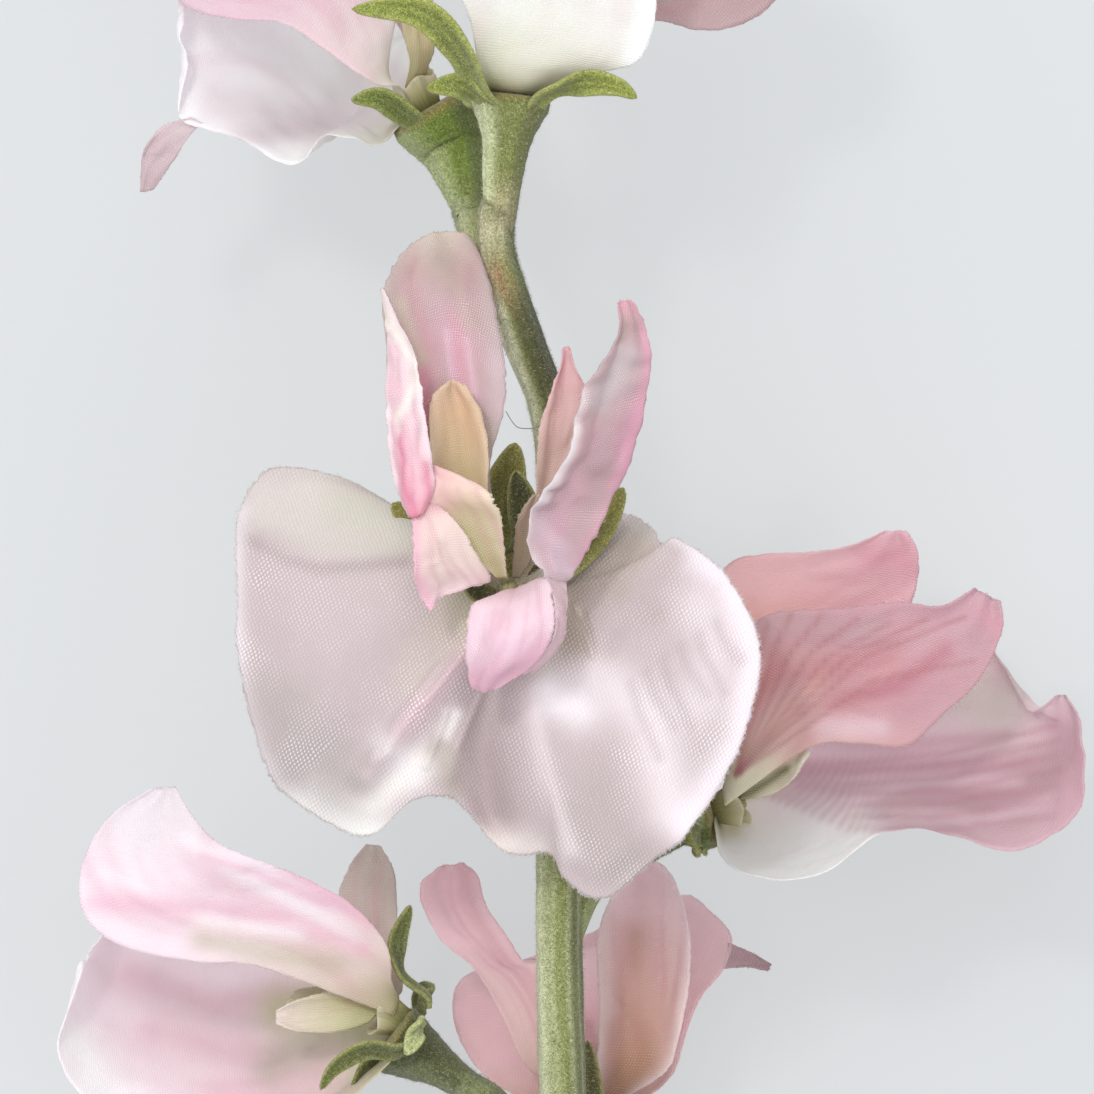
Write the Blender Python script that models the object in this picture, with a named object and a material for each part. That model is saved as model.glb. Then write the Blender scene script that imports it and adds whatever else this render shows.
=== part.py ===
"""A spray of fabric sweet peas: one flocked stem that carries six blooms, laid down on a table.

The spray lies along +Y with its cut end at -Y. Z is up and the table is at z = 0.
Every bloom is built like the real article: a green calyx with five sepals is pushed on the end
of its stalk, and three layers of stamped cloth sit on it, the broad standard first, then the two
wings in one layer, then the small keel. Lengths below are in millimetres.
"""
import bpy
import numpy as np

MM = 0.001

# ---------------------------------------------------------------- driving sizes
CLOTH = 0.6            # thickness of a petal
SEPAL = 0.8            # thickness of a sepal
CLEAR = 0.3            # gap between pieces that touch
LAYERS = {"standard": 0.65, "wings": 2.15, "keel": 3.6}   # each layer's height on the bloom's axis
DISCS = {"standard": 1.7, "wings": 1.7, "keel": 1.2}      # radius of the disc that ties a layer together
DISC_DEEP = 0.9
SHOULDERS = {"standard": 2.9, "wings": 2.3, "keel": 1.4}  # how far out a layer runs flat, clear of the next disc
ROOT = 0.4             # where a petal starts in its disc, as a share of the shoulder
FAN_GRID = (6, 34)     # rings and spokes of a fan
BLADE_GRID = {"standard": (11, 8), "wings": (9, 5), "keel": (5, 3)}   # rows along and across
STEM_SIDES = 12
RIB_DEPTH = 0.05       # how far the stem's ribs stand out, as a share of its radius
RIBS = 5
CENTRE = (2.76, -25.55)  # middle of the spray's outline on the table


# ---------------------------------------------------------------- curves and surfaces
def vec(*xyz):
    return np.array(xyz, float)


def unit(v):
    return v / np.linalg.norm(v, axis=-1, keepdims=True)


def spline(points, steps):
    """Smooth curve through the points (Catmull-Rom), returned as steps + 1 points."""
    p = np.asarray(points, float)
    ends = np.concatenate([[2 * p[0] - p[1]], p, [2 * p[-1] - p[-2]]])
    t = np.linspace(0, len(p) - 1, steps + 1)
    i = np.minimum(t.astype(int), len(p) - 2)
    f = (t - i)[:, None]
    a, b, c, d = ends[i], ends[i + 1], ends[i + 2], ends[i + 3]
    return 0.5 * (2 * b + (c - a) * f + (2 * a - 5 * b + 4 * c - d) * f ** 2
                  + (3 * b - a - 3 * c + d) * f ** 3)


def even(points, steps):
    """The same smooth curve, with its points spaced evenly along its length."""
    fine = spline(points, 12 * len(points))
    length = np.concatenate([[0], np.cumsum(np.linalg.norm(np.diff(fine, axis=0), axis=1))])
    want = np.linspace(0, length[-1], steps + 1)
    return np.stack([np.interp(want, length, fine[:, k]) for k in range(3)], axis=1)


def patch(rows, along, across):
    """Surface through rows of points: each row is splined across, then the columns along."""
    lines = np.array([spline(row, across) for row in rows])
    return np.stack([spline(lines[:, k], along) for k in range(across + 1)], axis=1)


def around(axis):
    """Two directions square to the axis: towards +Z (or +X if the axis is upright), then a right turn."""
    first = vec(1, 0, 0) if abs(axis[2]) > 0.9 else vec(0, 0, 1)
    first = unit(first - (first @ axis) * axis)
    return first, np.cross(axis, first)


def fan(margin, root, axis, arc, spread, rings, spokes):
    """Petal that leaves an arc round root square to the axis and sweeps over to its margin.

    Each spoke is the curve (1-v)^2 start + 2v(1-v) bend + v^2 edge. The bend lies out from the axis
    by the share spread of the spoke's length, so a small spread makes a slim, forward petal.
    """
    edge = spline(margin, spokes)
    first, second = around(axis)
    angle = np.radians(np.linspace(*arc, spokes + 1))[:, None]
    out = first * np.cos(angle) + second * np.sin(angle)
    start = root + ROOT * SHOULDERS["standard"] * out
    bend = start + spread * np.linalg.norm(edge - root, axis=1, keepdims=True) * out
    v = np.linspace(0, 1, rings + 1)[:, None, None]
    return (1 - v) ** 2 * start + 2 * v * (1 - v) * bend + v ** 2 * edge


def blade(edges, root, axis, arc, shoulder, bow, along, across):
    """Petal between two side edges.

    It leaves an arc round root square to the axis, as far out as the shoulder. From there each row
    runs from edge to edge, round at the shoulder and then bowed by the share bow of its length.
    """
    first, second = around(axis)
    angle = np.radians(np.linspace(*arc, across + 1))[:, None]
    out = first * np.cos(angle) + second * np.sin(angle)
    a, b = (even(np.concatenate([[root + shoulder * side], edge]), along)
            for side, edge in zip((out[0], out[-1]), edges))
    t = np.linspace(0, 1, across + 1)[None, :, None]
    fade = (1 - np.linspace(0, 1, along + 1)[:, None, None]) ** 3
    width = b - a
    square = unit(np.cross(np.gradient((a + b) / 2, axis=0), width))
    rise = (bow * np.linalg.norm(width, axis=1, keepdims=True) * square)[:, None]
    round_off = shoulder * (out[None] - out[0] * (1 - t) - out[-1] * t)
    rows = a[:, None] + width[:, None] * t + (1 - fade) * rise * 4 * t * (1 - t) + fade * round_off
    return np.concatenate([(root + ROOT * shoulder * out)[None], rows])


def leaf(spine, width, face, along=6, across=2):
    """Sepal: a curve with a width that swells early and closes to a blunt point."""
    line = spline(spine, along)
    s = np.linspace(0, 1, along + 1)[:, None]
    side = unit(np.cross(np.gradient(line, axis=0), face))
    half = np.maximum(0.5 * width * np.sin(np.pi * (0.2 + 0.78 * s ** 0.8)), 0.2)
    u = np.linspace(-1, 1, across + 1)[None, :, None]
    return line[:, None] + side[:, None] * half[:, None] * u


def solid_sheet(grid, thickness):
    """Closed mesh of a sheet: the grid's two faces, split alike, and its rim."""
    g = np.array(grid)
    g[..., 2] = np.maximum(g[..., 2], thickness / 2)
    normal = unit(np.cross(np.gradient(g, axis=0), np.gradient(g, axis=1)))
    n, m = g.shape[:2]
    points = np.concatenate([(g + normal * thickness / 2).reshape(-1, 3),
                             (g - normal * thickness / 2).reshape(-1, 3)])
    points[:, 2] = np.maximum(points[:, 2], 0)
    index = np.arange(n * m).reshape(n, m)
    a, b = index[:-1, :-1].ravel(), index[1:, :-1].ravel()
    c, d = index[1:, 1:].ravel(), index[:-1, 1:].ravel()
    top = np.concatenate([np.stack([a, b, c], 1), np.stack([a, c, d], 1)])
    under = top[:, ::-1] + n * m
    loop = np.concatenate([index[:-1, 0], index[-1, :-1], index[:0:-1, -1], index[0, :0:-1]])
    after = np.roll(loop, -1)
    rim = np.concatenate([np.stack([after, loop, loop + n * m], 1),
                          np.stack([after, loop + n * m, after + n * m], 1)])
    return points, np.concatenate([top, under, rim])


def tube(path, radii, sides, steps, ribs=0.0):
    """Closed round bar along a path; ribs raises ridges along it."""
    line = spline(path, steps)
    radius = spline(np.array(radii, float)[:, None], steps)
    t = unit(np.gradient(line, axis=0))
    t[0], t[-1] = unit(vec(*path[1]) - path[0]), unit(vec(*path[-1]) - path[-2])
    across = unit(np.cross(t, vec(0.12, 0.05, 1)))
    upward = np.cross(t, across)
    angle = np.arange(sides) * 2 * np.pi / sides
    r = radius * (1 + ribs * np.cos(RIBS * angle))[None, :]
    ring = (line[:, None] + r[..., None] * (across[:, None] * np.cos(angle)[None, :, None]
                                            + upward[:, None] * np.sin(angle)[None, :, None]))
    n = steps + 1
    points = np.concatenate([ring.reshape(-1, 3), line[:1], line[-1:]])
    points[:, 2] = np.maximum(points[:, 2], 0)
    index = np.arange(n * sides).reshape(n, sides)
    nxt = np.roll(index, -1, axis=1)
    a, b, c, d = (x.ravel() for x in (index[:-1], nxt[:-1], nxt[1:], index[1:]))
    first, last = n * sides, n * sides + 1
    faces = np.concatenate([np.stack([a, b, c], 1), np.stack([a, c, d], 1),
                            np.stack([index[0], np.full(sides, first), nxt[0]], 1),
                            np.stack([nxt[-1], np.full(sides, last), index[-1]], 1)])
    return points, faces


# ---------------------------------------------------------------- Blender objects
def material(name, colour, rough):
    m = bpy.data.materials.new(name)
    m.use_nodes = True
    shader = m.node_tree.nodes["Principled BSDF"]
    shader.inputs["Base Color"].default_value = (*colour, 1)
    shader.inputs["Roughness"].default_value = rough
    shader.inputs["Metallic"].default_value = 0.0
    return m


def mesh_object(name, points, faces, finish):
    mesh = bpy.data.meshes.new(name)
    at_origin = np.asarray(points) - vec(*CENTRE, 0)
    mesh.from_pydata((at_origin * MM).tolist(), [], faces.tolist())
    mesh.materials.append(finish)
    obj = bpy.data.objects.new(name, mesh)
    bpy.context.scene.collection.objects.link(obj)
    return obj


def fuse(name, pieces, finish):
    """One solid from several closed pieces whose roots are sunk in the first."""
    base = mesh_object(name, *pieces[0], finish)
    group = bpy.data.collections.new(name + "_pieces")
    bpy.context.scene.collection.children.link(group)
    for k, piece in enumerate(pieces[1:]):
        other = mesh_object(f"{name}_piece_{k}", *piece, finish)
        bpy.context.scene.collection.objects.unlink(other)
        group.objects.link(other)
    join = base.modifiers.new("Join", "BOOLEAN")
    join.operation = "UNION"
    join.operand_type = "COLLECTION"
    join.collection = group
    join.solver = "EXACT"
    view = bpy.context.evaluated_depsgraph_get()
    joined = bpy.data.meshes.new_from_object(base.evaluated_get(view))
    base.modifiers.remove(join)
    base.data = joined
    base.data.name = name
    for other in list(group.objects):
        bpy.data.objects.remove(other)
    bpy.data.collections.remove(group)
    return base


# ---------------------------------------------------------------- the blooms' shapes
# Points are measured from the bloom's hub, the middle of the calyx's mouth.
CENTRE_BLOOM = {
    "hub": vec(-3.9, -4.4, 46), "axis": vec(0, 0, 1), "stalk": vec(-3.5, -7, 37.2),
    "standard": {"petal": {"arc": (144, 395), "spread": 0.5, "margin": [
        (-11.5, 8.3, -1), (-17.8, 11.7, -3), (-25.2, 12.7, -6), (-28.3, 8.8, -5), (-28.8, 5.2, -3.5),
        (-28.7, -1.1, -2.5), (-28.6, -7.4, -3), (-26, -17.9, -4.5), (-23.1, -22.1, -5.5),
        (-15.5, -26.1, -5), (-10.5, -22.4, -2), (-7.3, -21.8, -1.5), (-5.2, -22.7, -3),
        (-0.5, -27.7, -4.5), (4.2, -27.9, -3), (5.8, -30.5, -1), (9.8, -32.6, 0.5), (15.2, -28.4, 1),
        (18.9, -25.3, 0.5), (24.2, -16.4, -1.5), (26.3, -6.4, -3), (22.6, 1.5, -3), (17.3, 5.2, -2.5),
        (14.7, 7.3, -3.5), (12.1, 7.9, -4), (9.5, 6.7, -2.5)]}},
    "wings": {
        "left blade": [
            [(-0.7, 0.2, 2.1), (-0.5, 0.3, 2.1), (-0.3, 0.3, 2.1), (0, 0.3, 2.1)],
            [(-7.4, 6.2, 5), (-5.3, 6.2, 3.5), (-3.2, 6.7, 2.8), (-1.1, 6.2, 2.8)],
            [(-11.1, 11.4, 9), (-8.4, 12.5, 5), (-4.7, 13, 3.8), (-2.1, 12.5, 4.5)],
            [(-12.2, 17.7, 10), (-8.9, 19.3, 6), (-4.7, 19.8, 4.5), (-0.7, 18.8, 5.5)],
            [(-12.8, 24, 8.5), (-9.5, 25.6, 4.5), (-5.3, 26.1, 3), (-0.5, 23.5, 4)],
            [(-13.4, 29.8, 5.5), (-10, 31.4, 3), (-6.3, 31.9, 1.5), (-2.8, 30.3, 0)],
            [(-12, 33.6, 2), (-8.9, 34.8, 1), (-6.3, 35, 0), (-3.6, 34.2, -1.6)],
            [(-10.2, 36.2, 0.6), (-8.2, 37.1, 0), (-6.4, 37.4, -0.6), (-4.8, 36.8, -1.8)]],
        "left fold": [
            [(-11.6, 12.5, 9.2), (-11.1, 13, 10.2), (-10.7, 13.5, 10.5)],
            [(-12.3, 16.7, 10), (-11.6, 17.2, 11.6), (-11, 17.7, 11.8)],
            [(-12.5, 20.4, 9.6), (-11.3, 20.4, 11.4), (-10, 20.9, 11.4)],
            [(-12.8, 24, 8.5), (-11.6, 23.8, 10.2), (-9.7, 23.2, 10.2)],
            [(-13.2, 27.2, 7), (-12.6, 26.9, 8), (-11.6, 26.4, 8.4)],
            [(-13.4, 29.5, 5.6), (-13.2, 29.7, 6), (-12.9, 29.8, 6.4)]],
        "left panel": [
            [(-1.4, 1.2, 5.2), (-0.8, 1.2, 5.2), (-0.3, 1.2, 5.2)],
            [(-4.2, 3.8, 7.6), (-2.3, 4.1, 7), (-0.5, 3.9, 7.2)],
            [(-7.4, 7.2, 10), (-4.2, 7.8, 9.2), (-0.8, 7.2, 9)],
            [(-9.7, 8.6, 11.4), (-6.3, 9.9, 11), (-1.7, 9.3, 10.4)],
            [(-10.6, 11, 10.6), (-6.8, 11.6, 11.2), (-3.2, 10.9, 10.6)],
            [(-11.3, 12.8, 9.4), (-9.9, 13.3, 9.9), (-8, 13, 10.2)]],
        "left tail": [
            [(-10.4, 9.4, 10.8), (-9, 9.2, 11.2), (-7.4, 8.8, 10.8)],
            [(-10.1, 5.8, 12), (-7.9, 5.4, 11.6), (-5.2, 6.6, 10.6)],
            [(-10, 1.5, 11.2), (-7.4, 2.5, 10.2), (-3.6, 3.8, 8.8)],
            [(-9.3, -0.6, 9.6), (-6.3, 0.6, 8), (-1.9, 1, 6.6)],
            [(-8.4, -2.4, 8.6), (-6.8, -0.6, 7.2), (-3, 0.4, 6.5)]],
        "right ribbon": [
            [(-0.4, -0.9, 2.1), (0.2, -0.9, 2.1), (0.8, -0.8, 2.1)],
            [(1.6, -0.6, 4.4), (2.3, -0.5, 4.4), (3.1, -0.5, 4.2)],
            [(3.5, 1.4, 9), (4.5, 1.2, 8), (5.9, 0.9, 7)],
            [(2.1, 4.1, 11), (4.2, 4.1, 9.5), (7.6, 3, 7)],
            [(1.9, 7.2, 11.5), (4.7, 7.8, 9), (9.7, 7.2, 6.5)],
            [(3.7, 10.4, 11.5), (7.4, 11.4, 9), (11.8, 11.4, 6.5)],
            [(5.9, 13.3, 11), (9.5, 14.6, 9), (13.3, 15.1, 7)],
            [(7.6, 17.2, 10.5), (10.7, 18.3, 8.5), (14.2, 19, 7)],
            [(8.9, 20.1, 10), (11.6, 21.1, 8.5), (14.7, 22.8, 7.5)],
            [(11.3, 23.5, 9.5), (12.6, 24.6, 8.5), (14.7, 25.3, 8)],
            [(11.6, 26.7, 9), (12.6, 27.4, 8.5), (14, 27.7, 8)],
            [(11.5, 29.8, 9.5), (12.2, 30.1, 8.8), (12.9, 30, 8.6)]],
        "right back": [
            [(0.2, 0, 2.1), (0.6, 0, 2.1), (1, -0.1, 2.1)],
            [(2.4, 6.8, 3.6), (3.4, 6.8, 3.2), (4.6, 6.8, 3.4)],
            [(2.8, 13, 5), (4.4, 12.7, 4), (6.1, 13.3, 4.6)],
            [(3.2, 16.7, 6), (5.3, 16.7, 5), (7.8, 17.7, 5.6)],
            [(4.2, 20.4, 6), (5.9, 20.7, 5), (8.3, 20.2, 5.8)],
            [(5.3, 23.5, 6), (6, 23.8, 5.5), (6.9, 23.2, 6)],
            [(5.5, 25.1, 6.4), (5.9, 25.3, 6.3), (6.3, 25.2, 6.4)]],
        "right tongue": [
            [(-0.6, -1, 2.1), (0, -1, 2.1), (0.6, -1, 2.1)],
            [(-1, -1, 4), (0.4, -0.9, 4.2), (1.8, -0.7, 4.4)],
            [(-1.4, -0.5, 5.6), (1, 0.2, 6.4), (3.8, 1.2, 8.8)],
            [(-3.9, -1.6, 8), (0.5, -1.7, 10), (4.5, -1.2, 11)],
            [(-4.4, -4.3, 9), (0, -4.5, 11.5), (4.6, -3.8, 11.5)],
            [(-4.4, -7.5, 8), (-1, -7.7, 10.5), (3.5, -6.7, 10)],
            [(-4, -10.2, 6.5), (-2.1, -9.8, 8), (1.1, -8.7, 8)],
            [(-3.2, -10.8, 6), (-2.4, -10.7, 6.5), (-1.4, -10.4, 7)]],
        "right band": [
            [(3.9, 1.3, 9), (4.8, 0.9, 8), (5.9, 0.7, 7)],
            [(4.7, -1.7, 11), (5.5, -1.7, 10), (6, -1.7, 8.5)],
            [(4.6, -4.1, 11), (5.5, -4.3, 9.5), (5.9, -3.8, 8.5)],
            [(3.5, -6.7, 9.9), (4.2, -6.9, 8.5), (4.8, -6.2, 8)],
            [(1.1, -8.8, 7.9), (1.9, -8.8, 7), (2.6, -8.5, 6.5)]]},
    "keel": {
        "left": [
            [(-0.8, 1.2, 3.6), (-0.5, 1.2, 3.6), (-0.2, 1.2, 3.6)],
            [(-4.2, 4.6, 5.8), (-2.6, 5.1, 5.3), (-1.1, 5.1, 5.3)],
            [(-7.8, 10.4, 8.3), (-5, 10.6, 6.6), (-2.3, 10.2, 7)],
            [(-8.4, 15.6, 8.8), (-5.3, 16.2, 6.8), (-2.1, 13.5, 7.6)],
            [(-8.1, 19.8, 8.4), (-5.8, 19.8, 7), (-2.9, 18.3, 7.6)],
            [(-6.8, 21.5, 8), (-5.8, 21.8, 7.6), (-4.6, 21.3, 7.6)]],
        "right": [
            [(0.2, 1.2, 3.6), (0.6, 1.2, 3.6), (1, 1.1, 3.6)],
            [(0.4, 4.1, 5), (1.6, 4.1, 5.2), (2.6, 3.8, 6)],
            [(0.8, 7.2, 7), (1.9, 7.2, 6.8), (3.4, 7.2, 7.2)],
            [(2.4, 9.9, 8.4), (3, 9.9, 8.3), (3.9, 9.8, 8.3)]]},
    "sepals": [
        ([(-1.6, 6, -1.6), (-0.4, 11.4, -1.2), (0.6, 15.3, 0)], 4.6),
        ([(2.2, 5.4, 0), (1.4, 9, 1.2), (0.6, 12.4, 2.2)], 3.6),
        ([(-5, 3, -2.2), (-9.4, 6.4, -3.4), (-12.4, 9, -4.6)], 4),
        ([(4.6, 2.6, -2.2), (8, 6.4, -3.6), (11.7, 10.6, -4.6)], 4),
        ([(-2, -5, -2.4), (-3, -8, -4)], 3.6)],
}

RIGHT_BLOOM = {
    "hub": vec(17.3, -28.1, 24), "axis": unit(vec(0.96, 0.22, 0.15)), "stalk": vec(9.4, -32.4, 26),
    "standard": {"petal": {"arc": (25, 165), "bow": -0.06, "edges": (
        [(1.2, -4.5, 7), (3.5, -6.3, 9), (8.2, -7.2, 11), (12.9, -5.8, 12), (17.6, -2.4, 11),
         (22.4, -1.6, 9), (26, -2.4, 7.5), (31.3, -3.9, 7), (35.5, -2.8, 7), (39.2, 0.3, 5),
         (39.9, 4.7, 3), (39.5, 10, 1), (38, 12.3, -1)],
        [(2.4, 0, -9), (6.1, 2.6, -15), (11.3, 6.8, -21), (16.6, 11, -26), (20.8, 15.2, -26.5),
         (25, 18.4, -24), (28.7, 18.9, -19), (30.8, 16.8, -14), (33, 14.6, -9), (35, 13.6, -5),
         (36.8, 12.8, -2.4)])}},
    "wings": {
        "front": {"arc": (-95, -5), "bow": 0.08, "edges": (
            [(2.4, 5.8, 2), (2.7, 12.1, 3), (4, 18.4, 4), (6.6, 21, 5), (13.4, 21.5, 6),
             (19.7, 22.3, 6), (24.5, 21.9, 5), (28.1, 23.8, 4)],
            [(10.3, 6.6, 3.5), (15.5, 7.2, 5), (20.9, 7, 6), (24.5, 10.2, 6), (28.7, 14.2, 5.5),
             (31.1, 19.4, 4), (30.9, 22.3, 3.5)])},
        "back": {"arc": (-105, -175), "bow": -0.05, "edges": (
            [(1, 12.1, -4), (0.4, 18.4, -6), (0.6, 23.6, -7), (2.4, 26.5, -8), (6.1, 27.3, -8),
             (11.3, 27.6, -7), (15.5, 28.4, -6), (18.7, 29.8, -5)],
            [(10.3, 8.9, -5), (15.5, 13.1, -6), (19.7, 18.4, -7), (22.1, 23.6, -7),
             (22.3, 27.6, -6), (21, 29.9, -5)])}},
    "keel": {
        "near": {"arc": (-70, -20), "bow": 0.1, "edges": (
            [(3, 5, 0.6), (6, 8, 1.2), (9.8, 8.6, 1.6)],
            [(5.8, 1.6, 1.8), (8.8, 3.2, 1.9), (10.8, 6.2, 1.9)])},
        "far": {"arc": (-100, -170), "bow": -0.1, "edges": (
            [(3, 5, -1), (6, 8, -2), (9.8, 8.6, -2.4)],
            [(5.6, 2, -1.4), (8.6, 3.6, -2), (10.6, 6.4, -2.4)])}},
    "sepals": [
        ([(-1.8, -3, 4.6), (-1.2, -4.6, 6.2)], 3.4),
        ([(-1.8, 4.6, 1.5), (-1.6, 8, 2.2)], 3.6),
        ([(-1.6, 3, -4.6), (-1.6, 5, -7)], 3.4),
        ([(-1, -3, -4), (-0.4, -4.5, -6)], 3.4),
        ([(-1, -4.8, 0.2), (-0.4, -7, 1)], 3.6)],
}

LOW_LEFT_BLOOM = {
    "hub": vec(-14.6, -50.7, 24), "axis": unit(vec(-0.92, 0.34, 0.08)), "stalk": vec(-8.2, -55.6, 24.6),
    "standard": {"petal": {"arc": (-25, -165), "bow": 0.06, "edges": (
        [(-1.8, -3.6, 5), (-4, -5.8, 6), (-8.2, -9.5, 8), (-14.5, -12.6, 8), (-21.8, -13.7, 7),
         (-29.2, -12.1, 5), (-33.9, -8.4, 4), (-37.1, -3.4, 4), (-36.3, 1.1, 3), (-34.9, 6, 1)],
        [(-2.4, 3.2, -8), (-6.1, 8.4, -16), (-12.4, 13.7, -26), (-19.7, 16.8, -26),
         (-26, 15.8, -20), (-30, 12.6, -13), (-32.6, 9.4, -6), (-34, 7.4, -1)])}},
    "wings": {
        "front": {"arc": (75, 5), "bow": -0.08, "edges": (
            [(-1.9, 4.7, 3.5), (-2.4, 8.4, 5), (-6.1, 12.8, 6), (-11.3, 15.6, 7),
             (-16.6, 17.6, 8), (-20.6, 19.6, 8), (-23.2, 22.6, 7), (-24.8, 25.3, 6)],
            [(-15.5, 6, 5), (-21.8, 6.6, 6), (-27.1, 7.4, 7), (-30.8, 8.6, 8), (-33.9, 11, 9),
             (-34.9, 14.7, 9), (-33.9, 18.9, 8), (-31.3, 22.6, 7), (-27.1, 25.2, 6)])},
        "back": {"arc": (100, 160), "bow": 0, "edges": (
            [(-0.8, 4.2, -3), (-1.4, 10.5, -5), (-1.7, 15.8, -7), (-3.2, 18.7, -8)],
            [(-5.6, 5.4, -5), (-7.7, 12.6, -7), (-6.6, 16.3, -8), (-4.8, 18.9, -8)])}},
    "keel": {
        "near": {"arc": (80, 0), "bow": -0.1, "edges": (
            [(-4.4, 3.6, 1.2), (-8, 3.6, 2), (-12, 2.6, 2.6), (-14.2, 1.4, 3)],
            [(-5, -0.2, 1.6), (-8, -0.8, 2.6), (-12, -0.8, 3), (-14.2, 0, 3)])},
        "far": {"arc": (110, 160), "bow": 0.1, "edges": (
            [(-4.4, 3.6, -1), (-8, 4, -1.6), (-12, 3.6, -2)],
            [(-7, 0.4, -1.8), (-11, 0.8, -2), (-13.4, 2, -2.2)])}},
    "sepals": [
        ([(1, 5, 1.6), (0.4, 8, 2), (0.6, 11.4, 3)], 3),
        ([(1.4, -1.2, 4.6), (1.4, -3, 6.4)], 2.8),
        ([(-1.2, -4.4, 5.6), (-5, -6, 9.4), (-9.9, -7.4, 11)], 2.6),
        ([(-0.4, -5.4, 2.6), (-3.4, -9.4, 4)], 2.8),
        ([(1.6, 2.4, -4.6), (1, 4, -7)], 3)],
}

LOW_BACK_BLOOM = {
    "hub": vec(4.5, -61.7, 14), "axis": unit(vec(0.04, 0.99, 0.02)), "stalk": vec(4.2, -70.2, 14.6),
    "standard": {
        "petal": {"arc": (-105, -255), "bow": 0.1, "edges": (
            [(-9.5, 3.7, -3), (-12.6, 6.6, -4), (-14.5, 10.5, -5), (-14.4, 14.2, -6),
             (-12.4, 15.8, -8), (-8.9, 16.4, -12), (-4.2, 18.4, -16), (1, 20.5, -16.5)],
            [(8.6, 4.7, -1.2), (10.5, 10, -1.4), (11.9, 13.2, -1.6), (14.6, 16.4, -2.4),
             (15.4, 19.6, -4), (13.9, 21.8, -7), (10.5, 24.2, -11), (6.3, 22.5, -16)])},
        "tip": [[(15, 19.2, -3.8), (14.8, 17.8, -3), (14.2, 16.4, -2.4)],
                [(17.4, 18.2, -3.2), (17.1, 17.4, -3), (16.8, 16.6, -2.6)],
                [(19.6, 16.9, -2.8), (19.4, 16.6, -2.7), (19.2, 16.2, -2.6)]]},
    "wings": {
        "left": {"arc": (-75, -15), "bow": 0.06, "edges": (
            [(-3.2, 3.6, 1), (-6.8, 6.3, 2), (-8.9, 10.5, 3), (-10.5, 13.9, 4), (-12.6, 17.1, 5),
             (-15.8, 20, 5), (-17.6, 23.1, 5), (-18, 25.9, 5), (-16, 27.6, 4)],
            [(-1.2, 6.4, 1.8), (-1.6, 10, 0.7), (-2.6, 14.2, 0.5), (-4.7, 16.8, 0.5), (-7.1, 17.5, 1),
             (-8.9, 20.3, 2), (-11, 23.4, 2), (-11.8, 26.4, 2), (-13.4, 27.9, 3)])},
        "right": {"arc": (10, 85), "bow": 0.06, "edges": (
            [(1, 9, 2), (1, 14.2, 1), (0.8, 19.4, 0.5), (2.1, 23.6, 0.5), (4.2, 27.3, 1)],
            [(7.9, 5.3, 3), (9.5, 8.9, 4), (10.5, 14.2, 5), (10.7, 19.4, 5), (9.8, 24.2, 4),
             (8.6, 27, 3), (6.5, 28.7, 2)])}},
    "keel": {
        "left": {"arc": (-160, -100), "bow": 0.1, "edges": (
            [(-0.3, 6.4, -1), (-0.3, 9.6, -1.4), (-1, 12.6, -1.6)],
            [(-2.8, 6, -0.8), (-3.4, 9, -1.2), (-2.6, 12, -1.4)])},
        "right": {"arc": (160, 100), "bow": -0.1, "edges": (
            [(0.8, 6.4, -1), (0.8, 9.6, -1.4), (1.8, 12.6, -1.6)],
            [(3.2, 6, -0.8), (4, 9, -1.2), (3.4, 12, -1.4)])}},
    "sepals": [
        ([(0.4, -0.4, 4.8), (0.6, 1.4, 7)], 3),
        ([(4.8, -0.8, 1.6), (8, 0, 2.6)], 3),
        ([(-4.8, -0.8, 1.4), (-8, 0, 2.2)], 3),
        ([(3, -1.2, -4.6), (5, -0.6, -6.6)], 3),
        ([(-3, -1.2, -4.6), (-5, -0.6, -6.6)], 3)],
}

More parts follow.
